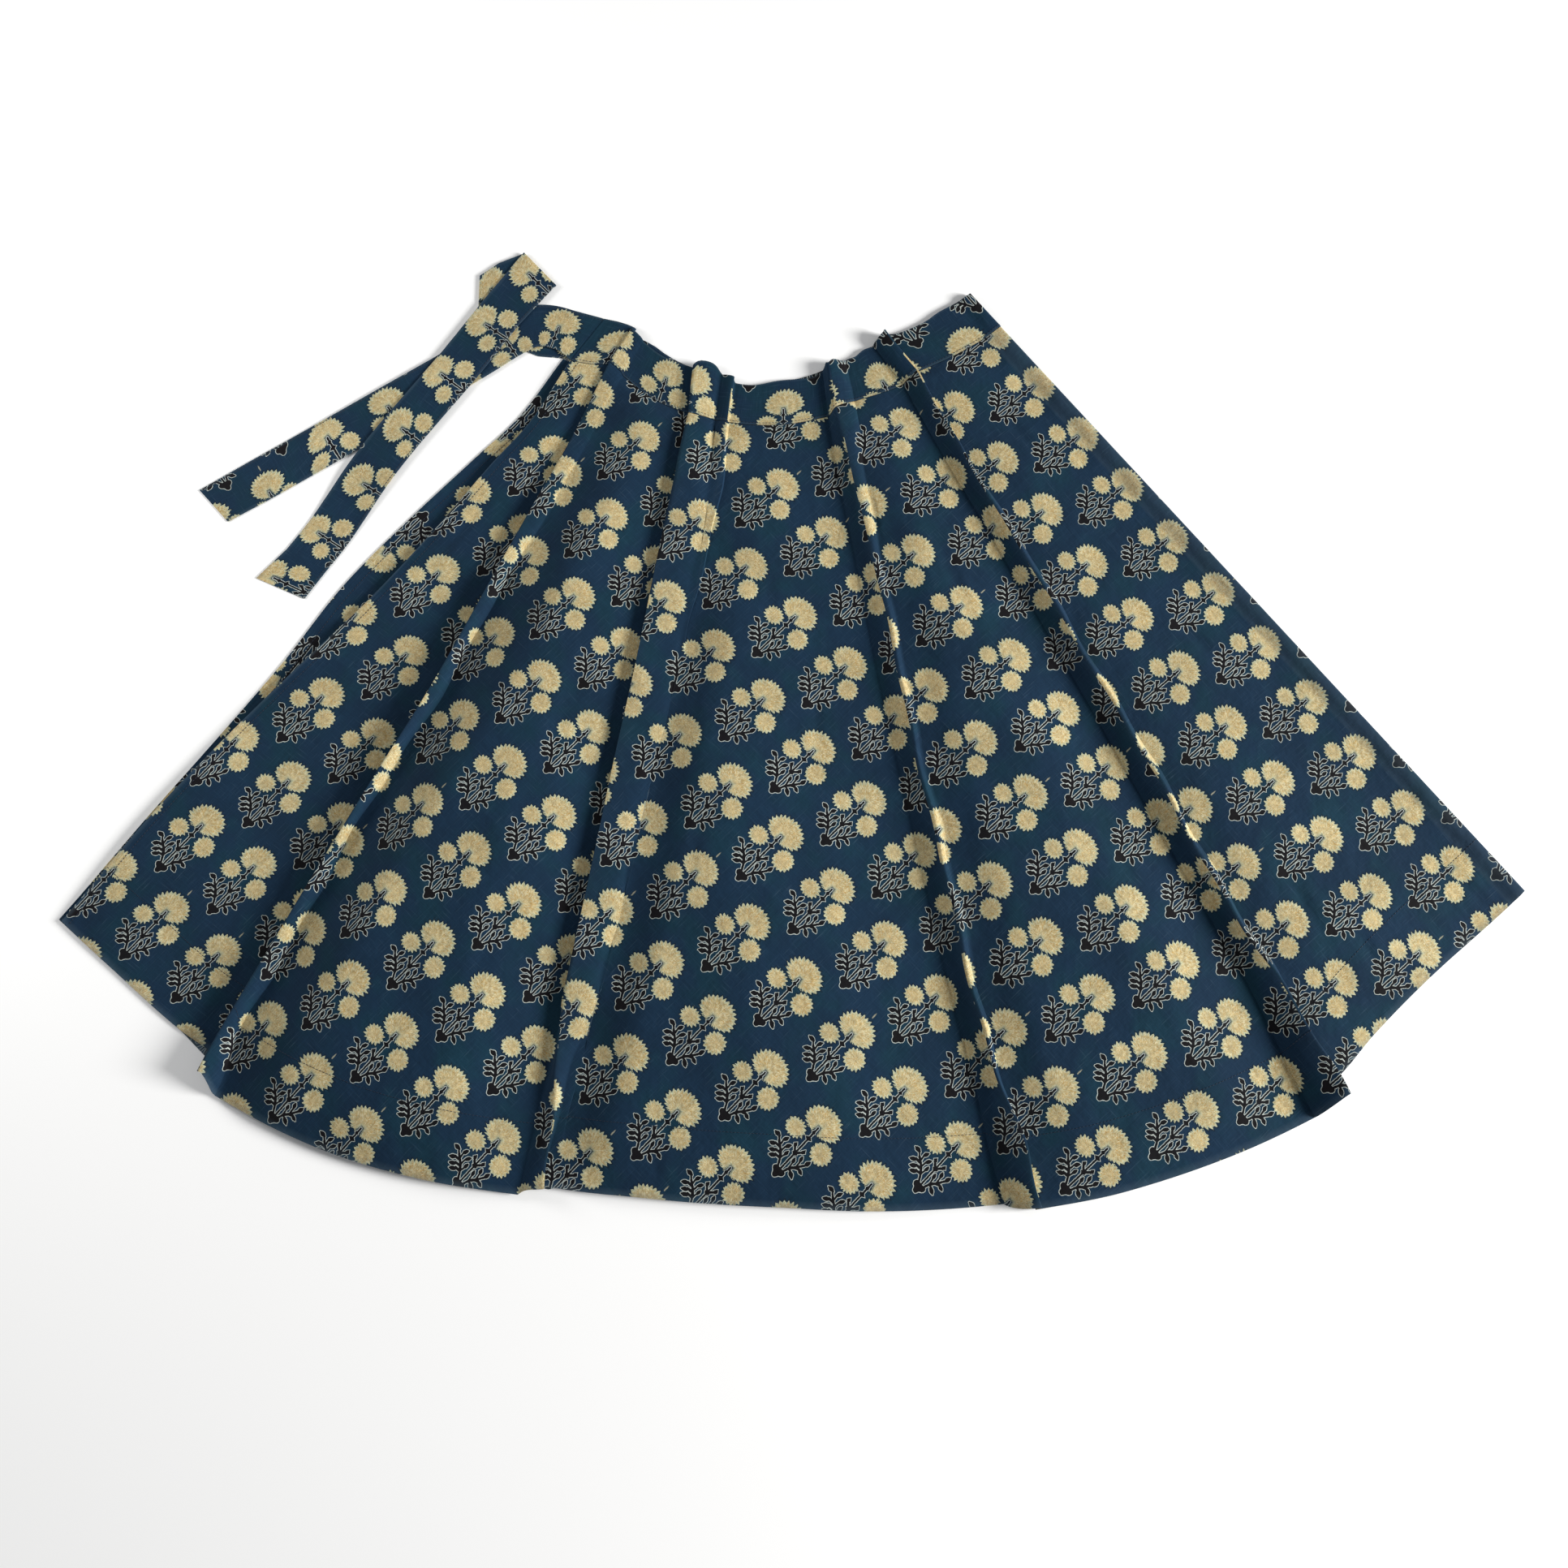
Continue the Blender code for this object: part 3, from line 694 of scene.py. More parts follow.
def lay_halves(down, swelling, rise, low, under_left):
    """The columns of a sheet round the skirt: over half, folded edge and under half, from left to left."""
    over = over_half(down, swelling)
    over["height"] += rise
    fold = folded_edge(down, low, over_level(down) + rise)
    under = under_half(under_left, low, len(down))
    grid = {name: np.concatenate([over[name], fold[name], under[name]], axis=1) for name in over}
    grid["count_over"] = over["angle"].shape[1]
    grid["count_top"] = grid["count_over"] + fold["angle"].shape[1]
    grid["table_radius"] = table_radius(down)
    return grid


def rim_radius(grid, over_rim, under_column):
    """Radius of the waist or the hem at each column, in metres, round both halves."""
    top = grid["count_top"]
    over = smooth_values(over_rim, "place", "radius", grid["place"][:, :top])
    under = smooth_values(UNDER_RIM, "angle", under_column, grid["angle"][:, top:])
    return np.concatenate([over, under], axis=1) * MM


def panel_grid():
    """The whole skirt panel as a grid, from its waist down to its hem."""
    down = np.linspace(0, 1, PANEL_ROWS + 1)[:, None]
    under_left = smooth_values(LEFT_EDGES, "radius", "under", table_radius(down))
    grid = lay_halves(down, 1.0, 0.0, UNDER_LEVEL, under_left)
    waist = rim_radius(grid, OVER_WAIST, "waist") + SEAM_GAP
    grid["radius"] = waist + down * (rim_radius(grid, OVER_HEM, "hem") - waist)
    over = slice(0, grid["count_over"])
    under = slice(grid["count_top"], None)
    for part, creases in ((over, CREASES), (under, UNDER_CREASES)):
        grid["height"][:, part] += crease_heights(grid["radius"][:, part], grid["angle"][:, part], creases)
    return grid


def part_starts(grid):
    """The first column of each flat part and each flute in turn, and the column after the over half."""
    flute = grid["flute"][0, : grid["count_over"]].astype(int)
    starts = [int(np.argmax(flute == number)) for number in range(2 * len(FLUTES) + 1)]
    return starts + [grid["count_over"]]


def crest_at(grid, number):
    """The share of a flute's foot at which its outermost line lies, down the rows."""
    lean = smooth_values(FLUTES[number], "radius", "lean", grid["table_radius"])
    return crest_share(lean, FLUTE_ROUNDNESS[number])


def left_of_crest(grid, number):
    """Which faces of a flute lie left of its outermost line, where the print's halves meet."""
    count = FLUTE_COLUMNS[number]
    middle = (np.arange(count)[None, :] + 0.5) / count
    return middle < crest_at(grid, number)[:-1]


def unroll(grid):
    """Print coordinates seen from the left and from the right of each column, and which a face takes."""
    angle, radius = grid["angle"], grid["radius"]
    length = arc_lengths(angle, grid["height"], radius)
    rows, columns = angle.shape
    sides = [np.zeros((rows, columns, 2)) for side in (0, 1)]
    from_left = np.ones((rows - 1, columns - 1), bool)
    starts = part_starts(grid)
    shifts = [0.0] * len(PART_PRINTS)
    shifts[LEFT_OF_PLEAT] = pleat_shift(angle, radius, length, starts)

    def lay(side, chosen, turned, part):
        x, y = on_cone(radius[:, chosen], turned + shifts[part])
        sides[side][:, chosen] = print_coordinates(x, y, PRINT_PLACES[PART_PRINTS[part]])

    def flat_angle(chosen, anchor):
        run = length[:, chosen] - length[:, anchor, None]
        return angle[:, anchor, None] + np.degrees(run / radius[:, anchor, None])

    for part in range(len(PART_PRINTS)):
        flat = np.arange(starts[2 * part], starts[2 * part + 1])
        for side in (0, 1):
            lay(side, flat, angle[:, flat], part)
    for number in range(len(FLUTES)):
        first, end = starts[2 * number + 1 : 2 * number + 3]
        flute = np.arange(first, end)
        lay(0, flute, flat_angle(flute, first), number)
        lay(1, flute, flat_angle(flute, end), number + 1)
        from_left[:, flute] = left_of_crest(grid, number)
    rest = np.arange(starts[-1] - 1, columns)
    for side in (0, 1):
        lay(side, rest, flat_angle(rest, starts[-1] - 1), len(FLUTES))
    return sides[0], sides[1], from_left


def pleat_shift(angle, radius, length, starts):
    """How far the cloth left of the small pleat lies to the left once the pleat is opened, in degrees."""
    left, right = starts[5], starts[6]
    opened = np.degrees((length[:, right] - length[:, left]) / radius[:, left])
    return ((angle[:, right] - angle[:, left]) - opened)[:, None]


def panel_wear_and_highlight(grid):
    """How pale each place is made: wear at the hem and the left edge, painted highlight on the flutes'
    crests and the folded edge.
    """
    wear = np.zeros_like(grid["angle"])
    wear[:, 0] = SIDE_WEAR
    # Painted highlight over the folded edge.
    wear[:, grid["count_over"] : grid["count_top"]] = FOLD_PAINTED_HIGHLIGHT
    # Painted highlight along each flute's crest.
    for number in range(len(FLUTES)):
        off_crest = (grid["part"] - crest_at(grid, number)) / CREST_HIGHLIGHT_WIDTH
        crest = np.exp(-(off_crest**2)) * CREST_PAINTED_HIGHLIGHT
        wear = np.where(grid["flute"] == 2 * number + 1, np.maximum(wear, crest), wear)
    wear[-1] = HEM_WEAR
    return wear


def edge_wear(points):
    """How worn each place of a strip is: only its two long edges."""
    wear = np.zeros(points.shape[:2])
    wear[[0, -1]] = EDGE_WEAR
    return wear


def print_side_hem(mesh, grid):
    """Shows the printed face on the turned side hem of the under half, its print turned with it."""
    angle, radius = grid["angle"], grid["radius"]
    corners = grid_corners(angle.shape)
    rows, columns = corners.shape[:2]
    strip = slice(columns - SIDE_HEM_COLUMNS, columns)
    faces = np.arange(rows * columns).reshape(rows, columns)[:, strip].reshape(-1)
    material = np.zeros(rows * columns, np.int32)
    material[faces] = TURNED_SLOT
    mesh.polygons.foreach_set("material_index", material)
    layer = mesh.uv_layers[UV_NAME]
    uv = np.empty(len(layer.data) * 2, np.float32)
    layer.data.foreach_get("uv", uv)
    uv = uv.reshape(-1, 4, 2)
    inward = np.radians(angle - angle[:, -1:]) * radius
    turned = np.stack([SIDE_HEM_PRINT[0] * MM - inward, radius - SIDE_HEM_PRINT[1] * MM], axis=-1)
    uv[faces] = turned.reshape(-1, 2)[corners[:, strip].reshape(-1, 4)]
    layer.data.foreach_set("uv", uv.reshape(-1))


def cone_points(grid):
    """The grid's places in the scene."""
    x, y = on_cone(grid["radius"], grid["angle"])
    return np.stack([x, y, grid["height"]], axis=-1)


# ---------------------------------------------------------------- the band's grid


def band_grid():
    """The waistband round both halves, from its top edge down to its seam."""
    across = np.linspace(1, 0, BAND_ROWS + 1)[:, None]
    rise = BAND_OVER_LEVEL - over_level(0.0)
    under_left = np.full_like(across, BAND_UNDER_END)
    grid = lay_halves(np.zeros_like(across), 0.0, rise, BAND_UNDER_LEVEL, under_left)
    seam = rim_radius(grid, OVER_WAIST, "waist")
    top = slice(0, grid["count_top"])
    place = grid["place"][:, top]
    width = np.full_like(seam, BAND_WIDTH)
    width[:, top] = smooth_values(OVER_BAND, "place", "width", place)
    grid["seam_angle"] = grid["angle"].copy()
    grid["angle"][:, top] += across * smooth_values(OVER_BAND, "place", "turn", place)
    grid["radius"] = seam - SEAM_GAP - across * width * MM
    grid["across"] = np.broadcast_to(across, seam.shape)
    return grid


def band_print(grid):
    """Print coordinates of the band, straight along it, and which side each face takes them from."""
    middle = np.broadcast_to(grid["radius"].mean(axis=0), grid["angle"].shape)
    length = arc_lengths(grid["seam_angle"], grid["height"], middle)
    up = grid["across"] * BAND_WIDTH * MM
    sides = [np.stack([length, up], axis=-1) for side in (0, 1)]
    from_left = np.ones((len(length) - 1, length.shape[1] - 1), bool)
    starts = part_starts(grid)
    flutes = [(0, 0), *zip(starts[1:-1:2], starts[2::2]), (None, None)]
    for part, band in enumerate(BAND_PRINTS):
        start = length[:, starts[2 * part], None] - band.start * MM
        reaches = (slice(flutes[part][1], flutes[part + 1][1]), slice(flutes[part][0], flutes[part + 1][0]))
        for side, columns in zip(sides, reaches):
            side[:, columns, 0] = length[:, columns] - start
            side[:, columns, 1] = up[:, columns] + band.rise * MM
    for number in range(len(FLUTES)):
        from_left[:, slice(*flutes[number + 1])] = left_of_crest(grid, number)
    return sides[0], sides[1], from_left


# ---------------------------------------------------------------- the ties' grids


def smooth_line(line, steps):
    """The stations of a strip joined by a smooth line with more stations."""
    line = np.array(line)
    around = np.vstack([line[:1], line, line[-1:]])
    share = np.arange(steps)[:, None] / steps
    finer = []
    for a, b, c, d in zip(around, around[1:], around[2:], around[3:]):
        pull = (c - a) * share + (2 * a - 5 * b + 4 * c - d) * share**2
        finer.extend(b + (pull + (3 * b - a - 3 * c + d) * share**3) / 2)
    return [*finer, line[-1]]


def strip_sides(line):
    """Left and right edge points of a strip along a line of stations."""
    line = np.array(line)
    along = np.gradient(line[:, :2], axis=0)
    along /= np.linalg.norm(along, axis=1, keepdims=True)
    side = np.stack([-along[:, 1], along[:, 0], np.zeros(len(line))], axis=1) * TIE_WIDTH / 2
    return line + side, line - side


def divided(edges):
    """Both edges of a strip, with points added so that none lie too far apart."""
    edges = np.array(edges)
    longest = np.linalg.norm(np.diff(edges, axis=1), axis=2).max(axis=0)
    found = [edges[:, :1]]
    for index, pieces in enumerate(np.maximum(1, np.ceil(longest / TIE_STEP)).astype(int)):
        share = np.arange(1, pieces + 1)[None, :, None] / pieces
        start, end = edges[:, index, None], edges[:, index + 1, None]
        found.append(start + (end - start) * share)
    return np.concatenate(found, axis=1)


def strip_grid(edges):
    """Points between a strip's two edges; rows run along it, from the first edge to the second."""
    one, two = divided(edges) * MM + (*APEX, 0.0)
    share = np.linspace(0, 1, TIE_LINES)[:, None, None]
    return one * (1 - share) + two * share


def band_end(waist, width, angle, level):
    """Lower and upper corners of a tie where it meets the band's end, clear of it by the seam gap."""
    away = math.radians(angle) - SEAM_GAP / (waist * MM)
    lower = waist - SEAM_GAP / MM
    return [(radius * math.sin(away), -radius * math.cos(away), level) for radius in (lower, lower - width)]


def tie_over_edges():
    """The two edges of the over tie, from the band to its end."""
    corners = band_end(OVER_WAIST[0].radius, OVER_BAND[0].width, BAND_OVER_END, BAND_OVER_LEVEL / MM)
    sides = strip_sides(smooth_line(TIE_OVER_LINE, OVER_TIE_STEPS))
    ends = zip(corners, sides, TIE_OVER_END)
    return [[corner, *side, (*end, FIRST_LEVEL)] for corner, side, end in ends]


def turn_over(point, fold_way, low, high):
    """Points round a turned-back fold at one place of its line, bulging the way it is pushed."""
    turn = math.pi * np.arange(1, TURN_STEPS) / TURN_STEPS
    bend = (high - low) / 2
    x, y = (start + way * bend * np.sin(turn) for start, way in zip(point, fold_way))
    return list(zip(x, y, low + bend * (1 - np.cos(turn))))


def tie_under_edges():
    """The two edges of the under tie, from the band over both its folds to its end."""
    waist = float(smooth_values(UNDER_RIM, "angle", "waist", BAND_UNDER_END))
    first_left, first_right = strip_sides(FIRST_RUN)
    lower, upper = band_end(waist, BAND_WIDTH, BAND_UNDER_END, FIRST_LEVEL)
    starts = ((upper, *first_right), (lower, *first_left))
    long_left, long_right = strip_sides(smooth_line(LONG_RUN, LONG_RUN_STEPS))
    top_way = np.array((TOP_FOLD[0][1] - TOP_FOLD[1][1], TOP_FOLD[1][0] - TOP_FOLD[0][0]))
    top_way /= np.linalg.norm(top_way)
    edges = []
    for side, long_run in enumerate((long_right, long_left)):
        side_fold = (SIDE_FOLD_X, SIDE_FOLD[side])
        top_fold = TOP_FOLD[side]
        edge = [*starts[side], (*side_fold, FIRST_LEVEL)]
        edge += turn_over(side_fold, (-1, 0), FIRST_LEVEL, SECOND_LEVEL)
        edge += [(*place, SECOND_LEVEL) for place in (side_fold, SECOND_RUN[side], top_fold)]
        edge += turn_over(top_fold, top_way, SECOND_LEVEL, THIRD_LEVEL)
        edge += [(*top_fold, THIRD_LEVEL), *long_run, (*LONG_RUN_END[side], FIRST_LEVEL)]
        edges.append(edge)
    return edges


def tie_print(length, stations, from_first_edge):
    """Print coordinates along a tie: as its long run shows them, and as its turned-over run does."""
    reach, shift, rise = np.array(stations).T * MM
    across = np.linspace(0, TIE_WIDTH * MM, TIE_LINES)
    if not from_first_edge:
        across = across[::-1]
    along = np.broadcast_to(np.interp(length, reach, shift) - length, (TIE_LINES, len(length)))
    up = across[:, None] + np.interp(length, reach, rise)
    return np.stack([along, up], axis=-1), np.stack([-along, up], axis=-1)


# ---------------------------------------------------------------- writing a pattern as node sums


class Wire:
    """A number or a vector in a node tree, so that a pattern is written as plain sums."""

    def __init__(self, tree, socket):
        self.tree = tree
        self.socket = socket

    def math(self, operation, *others, clamp=False):
        return add_node(self.tree, "ShaderNodeMath", (self, *others), operation=operation, use_clamp=clamp)

    def vector(self, operation, *others, output=0):
        return add_node(self.tree, "ShaderNodeVectorMath", (self, *others), output, operation=operation)

    def __add__(self, other):
        return self.math("ADD", other)

    def __sub__(self, other):
        return self.math("SUBTRACT", other)

    def __rsub__(self, other):
        return add_node(self.tree, "ShaderNodeMath", (other, self), operation="SUBTRACT")

    def __mul__(self, other):
        return self.math("MULTIPLY", other)

    __radd__ = __add__
    __rmul__ = __mul__

    def least(self, other):
        return self.math("MINIMUM", other)

    def most(self, other):
        return self.math("MAXIMUM", other)

    def dot(self, direction):
        return self.vector("DOT_PRODUCT", direction, output=1)

    def moved(self, amount):
        return self.vector("ADD", amount)

    def scaled(self, amount):
        return self.vector("MULTIPLY", amount)

    def soft_step(self, low, high, start=0.0, end=1.0):
        """Goes smoothly from start to end as the value goes from low to high."""
        values = (self, low, high, start, end)
        return add_node(self.tree, "ShaderNodeMapRange", values, interpolation_type="SMOOTHSTEP")


def set_values(node, values):
    """Sets a node's own input values by name."""
    for name, value in values.items():
        node.inputs[name].default_value = value


def set_apart(node):
    """Moves a new node to its own place in the editor."""
    count = len(node.id_data.nodes)
    node.location = (220 * (count // 12), -180 * (count % 12))


def plug(socket, value):
    """Links a wire to an input, or sets the input to a plain value."""
    if isinstance(value, Wire):
        value.tree.links.new(value.socket, socket)
    elif value is not None:
        socket.default_value = value


def add_node(tree, kind, values=(), output=0, **settings):
    """A new node with settings and inputs in order; gives the wire of one output."""
    node = tree.nodes.new(kind)
    for name, value in settings.items():
        setattr(node, name, value)
    for socket, value in zip(node.inputs, values):
        plug(socket, value)
    set_apart(node)
    return Wire(tree, node.outputs[output])


def noise(where, scale, detail=2.0, roughness=0.5, colour=False):
    """A cloudy texture of a vector; a number from 0 to 1, or a vector of three such."""
    texture = add_node(where.tree, "ShaderNodeTexNoise", (where,), 1 if colour else 0)
    set_values(texture.socket.node, {"Scale": scale, "Detail": detail, "Roughness": roughness})
    return texture


def combine(tree, x, y, z=0.0):
    return add_node(tree, "ShaderNodeCombineXYZ", (x, y, z))


def separate(wire):
    """The first two numbers of a vector."""
    x = add_node(wire.tree, "ShaderNodeSeparateXYZ", (wire,))
    return x, Wire(wire.tree, x.socket.node.outputs[1])


def mix_colours(factor, first, second):
    """The first colour where the factor is zero, the second where it is one."""
    node = factor.tree.nodes.new("ShaderNodeMix")
    node.data_type = "RGBA"
    set_apart(node)
    sockets = {entry.identifier: entry for entry in (*node.inputs, *node.outputs)}
    for name, value in (("Factor_Float", factor), ("A_Color", first), ("B_Color", second)):
        plug(sockets[name], value)
    return Wire(factor.tree, sockets["Result_Color"])


def times(first, second):
    """A colour multiplied by a number."""
    return add_node(first.tree, "ShaderNodeVectorMath", (first, second), operation="MULTIPLY")


# ---------------------------------------------------------------- the printed bouquet

# The wavy line between two rows of bouquets, in mm: how far below a row's pots it runs, how much it
# waves and where; and the middle of a bouquet's width.
ROW_BORDER = -7.0
BORDER_WAVE = -3.0
BORDER_SHIFT = 0.9
COLUMN_SHIFT = 1.0

# The bouquet in millimetres from its pot: x across, y up. Leaves go from base to tip.
Leaf = namedtuple("Leaf", "base_x base_y tip_x tip_y half_width")
LEAVES = table(
    Leaf,
    (-12.4, 11.2, -19.4, 7.0, 1.75),
    (-16.4, 15.2, -23.2, 10.9, 1.75),
    (-21.2, 20.2, -27.8, 16.0, 1.75),
    (-24.0, 28.8, -31.6, 28.8, 1.80),
    (-18.8, 27.6, -15.8, 34.0, 1.55),
    (-12.2, 24.2, -8.4, 30.4, 1.55),
    (-6.9, 17.4, -6.3, 23.8, 1.35),
    (8.6, 10.8, 16.2, 6.2, 1.75),
    (14.2, 18.6, 20.8, 16.4, 1.45),
    (16.6, 25.2, 18.6, 32.4, 1.75),
    (10.2, 24.2, 8.6, 30.6, 1.45),
    (5.2, 17.4, 3.9, 23.8, 1.35),
)
Stalk = namedtuple("Stalk", "x_1 y_1 x_2 y_2 half_width")
STALKS = table(
    Stalk,
    (0.0, 3.0, 0.0, 27.0, 0.35),
    (0.0, 27.0, -0.2, 63.2, 0.35),
    (0.0, 27.2, -5.6, 33.0, 0.70),
    (0.0, 27.2, 5.8, 33.8, 0.70),
    (-3.8, 5.5, -8.2, 12.8, 0.60),
    (-8.2, 12.8, -13.4, 18.8, 1.00),
    (-13.4, 18.8, -21.2, 24.6, 0.70),
    (-21.2, 24.6, -25.0, 28.2, 0.40),
    (-8.6, 12.2, -14.4, 11.8, 0.70),
    (-11.8, 16.4, -18.0, 15.6, 0.80),
    (-16.0, 20.6, -22.6, 20.2, 0.80),
    (-17.6, 23.0, -18.4, 28.4, 0.35),
    (-12.6, 18.2, -12.0, 25.0, 0.35),
    (-8.0, 12.8, -6.9, 18.2, 0.30),
    (4.2, 5.5, 6.6, 12.0, 0.60),
    (6.6, 12.0, 11.4, 17.6, 0.90),
    (11.4, 17.6, 16.6, 25.8, 0.60),
    (6.4, 11.0, 9.6, 10.6, 0.50),
    (10.2, 16.2, 15.0, 18.4, 0.80),
    (11.0, 17.2, 10.2, 25.0, 0.35),
    (6.2, 11.6, 5.2, 18.2, 0.30),
)
Bead = namedtuple("Bead", "x y half_width half_height")
BEADS = table(
    Bead,
    (0.0, 27.2, 2.9, 2.7),
    (-0.2, 48.4, 3.3, 2.3),
    (-0.4, 56.8, 1.7, 2.4),
    (-6.0, 34.2, 1.9, 2.4),
    (6.2, 34.6, 1.9, 2.4),
)
# The pot: a heart with rounded corners, swelling from its middle to three lobes.
POT_LOBES = table(
    Stalk,
    (0.0, 1.2, -4.4, 2.5, 2.7),
    (0.0, 1.2, 4.3, 2.4, 2.7),
    (0.0, 1.2, -0.3, -3.2, 2.3),
)
POT_BLEND = 4.0

# The three flowers: where the streaks spread from, and the round shape about it.
FAN_HEART = (0.2, 64.2, 0.0)
FAN_CENTRE = (1.2, 68.8)
FAN_HALF_WIDTH = 22.6
FAN_ABOVE = 18.6
FAN_BELOW = 12.6
NOTCH_HALF_WIDTH = 2.5
FAN_SIZE = 15.0
NOTCH_SPREAD = 0.2
NOTCH_TOP = 1.5
LEFT_FLOWER = (-18.2, 46.8, 0.0)
LEFT_FLOWER_SIZE = (11.8, 10.0)
RIGHT_FLOWER = (21.0, 46.2, 0.0)
RIGHT_FLOWER_SIZE = (12.2, 11.9)
# Where a place is nearer to a small flower than to the big one: beyond this x and below this y.
LEFT_FLOWER_BOUNDS = (-5.0, 57.6)
RIGHT_FLOWER_BOUNDS = (7.5, 55.2)
RIGHT_FLOWER_TILT = -0.14
# A stray drop of dye, which about one bouquet in five has.
FLECK = (4.2 - ROW_SHIFT, 94.5 - REPEAT_UP, 0.0)
FLECK_SIZE = (0.75, 3.8)
FLECK_RARITY = 0.8
# How far from the dark shapes' own edge the black ends and the pale outline runs, in mm.
BLACK_EDGE = (0.74, 0.44)
OUTLINE_DISTANCE = 1.06
OUTLINE_EDGE = (0.44, 0.18)
THREAD_PITCH = 0.62

# Cloudy textures of the print: scale per millimetre, detail and roughness.
WOBBLE_NOISE = (0.33, 1.0)
STREAK_NOISE = (1.1, 2.0, 0.6)
PETAL_NOISE = (1.0, 2.0, 0.6)
MOTTLE_NOISE = (0.22, 3.0, 0.6)
INK_NOISE = (0.9, 2.0)
PATCH_NOISE = (0.02, 2.0, 0.5)
SLUB_NOISE = (1.0, 2.0, 0.6)
CLOUD_NOISE = (0.012, 3.0, 0.55)
# The streaks: how fine they are round the small flowers and how much finer round the big one, how much
# finer the petals' are, and how drawn out both are from the heart outwards.
FINE_SMALL = 6.0
FINE_MORE = 5.0
PETAL_FINE = 1.7
STREAK_STRETCH = 0.26
PETAL_STRETCH = 0.45
STREAK_SEED = (37.0, 0.0, 11.0)
# The ragged rim, in mm: how far the streaks and the spikes move it, and how far in it starts.
RIM_STREAKS = -3.4
RIM_SPIKES = -2.2
RIM_INSET = 1.55
SPIKE_TURN = 1.15
SPIKE_STREAKS = 0.8
# Where each mask starts and where it is full: distances in mm to the flowers' rim and to the drop's,
# then values of a texture.
HEART_EDGE = (-2.5, -7.0)
RIM_EDGE = (-2.6, -0.4)
FLOWER_EDGE = (0.25, -0.25)
HALO_EDGE = (2.6, 0.6)
FLECK_EDGE = (0.3, -0.3)
STREAK_EDGE = (0.42, 0.66)
PATCH_EDGE = (0.42, 0.70)
SLUB_UP_EDGE = (0.60, 0.78)
SLUB_ACROSS_EDGE = (0.62, 0.80)
INK_EDGE = (0.2, 0.45)
# How strongly each colour is laid on where its mask is full.
STREAK_GOLD = 0.7
LUCK_GOLD = 0.15
HEART_GOLD = 0.25
PETAL_CREAM = 0.75
RIM_LICHEN = 0.85
SLUB_FADED = 0.22
HALO_BLACK = 0.45
FLOWER_COVER = 0.98
OUTLINE_COVER = 0.75
OUTLINE_INK = 0.25
BLACK_COVER = 0.97
FLECK_COVER = 0.4
# Wear, and painted highlight on the folded edge and crests, toward the faded colour:
WEAR_AND_HIGHLIGHT_FADED = 0.30
# Shades: the texture's values and the brightness at each.
MOTTLE_SHADE = (0.30, 0.70, 0.80, 1.12)
CLOUD_SHADE = (0.25, 0.75, 0.86, 1.12)
SLUB_SHADE = (0.7, 1.3, 0.90, 1.10)
# Roughness of the ground, and what the flowers' and the black's dye change about it.
GROUND_ROUGHNESS = 0.84
FLOWER_ROUGHNESS = 0.05
BLACK_ROUGHNESS = -0.06
# A slub's long, thin shape along the threads, how far the patches' texture is moved off the clouds',
# and how high the slubs stand among the threads.
SLUB_LONG = 0.03
SLUB_THIN = 0.8
PATCH_PLACE = (310.0, 170.0, 0.0)
SLUB_HEIGHT = 0.6


def to_segment(point, x_1, y_1, x_2, y_2):
    """(share along, distance) of a point to a straight piece."""
    dx, dy = x_2 - x_1, y_2 - y_1
    square = dx * dx + dy * dy
    along = point.dot((dx / square, dy / square, 0.0))
    along = along.math("SUBTRACT", (x_1 * dx + y_1 * dy) / square, clamp=True)
    nearest = along.vector("MULTIPLY_ADD", (dx, dy, 0.0), (x_1, y_1, 0.0))
    return along, point.vector("DISTANCE", nearest, output=1)


def leaf_shape(point, leaf):
    along, distance = to_segment(point, leaf.base_x, leaf.base_y, leaf.tip_x, leaf.tip_y)
    belly = along.math("MULTIPLY_ADD", along * -1.0, along)
    return belly.math("MULTIPLY_ADD", -4 * leaf.half_width, distance)


def stalk_shape(point, stalk):
    _, distance = to_segment(point, stalk.x_1, stalk.y_1, stalk.x_2, stalk.y_2)
    return distance - stalk.half_width


def bead_shape(point, bead):
    size = min(bead.half_width, bead.half_height)
    offset = point.moved((-bead.x, -bead.y, 0.0)).vector("ABSOLUTE")
    return offset.dot((size / bead.half_width, size / bead.half_height, 0.0)) - size


def pot_shape(point):
    distance = stalk_shape(point, POT_LOBES[0])
    for lobe in POT_LOBES[1:]:
        distance = distance.math("SMOOTH_MIN", stalk_shape(point, lobe), POT_BLEND)
    return distance


def ellipse_shape(point, centre, size):
    offset = point.vector("SUBTRACT", centre).scaled((1.0 / size[0], 1.0 / size[1], 1.0))
    return (offset.vector("LENGTH", output=1) - 1.0) * min(size)


def fan_shape(point):
    """The big flower: a wide dome whose foot is notched round the stem's tip."""
    x, y = separate(point.moved((-FAN_CENTRE[0], -FAN_CENTRE[1], 0.0)))
    high = y.most(0.0) * (1.0 / FAN_ABOVE)
    low = y.least(0.0) * (1.0 / FAN_BELOW)
    wide = x * (1.0 / FAN_HALF_WIDTH)
    dome = (combine(point.tree, wide, high + low).vector("LENGTH", output=1) - 1.0) * FAN_SIZE
    heart_x, heart_y = separate(point.vector("SUBTRACT", FAN_HEART))
    notch = NOTCH_HALF_WIDTH - (heart_x.math("ABSOLUTE") + heart_y * NOTCH_SPREAD)
    return dome.most(notch.least(NOTCH_TOP - heart_y))


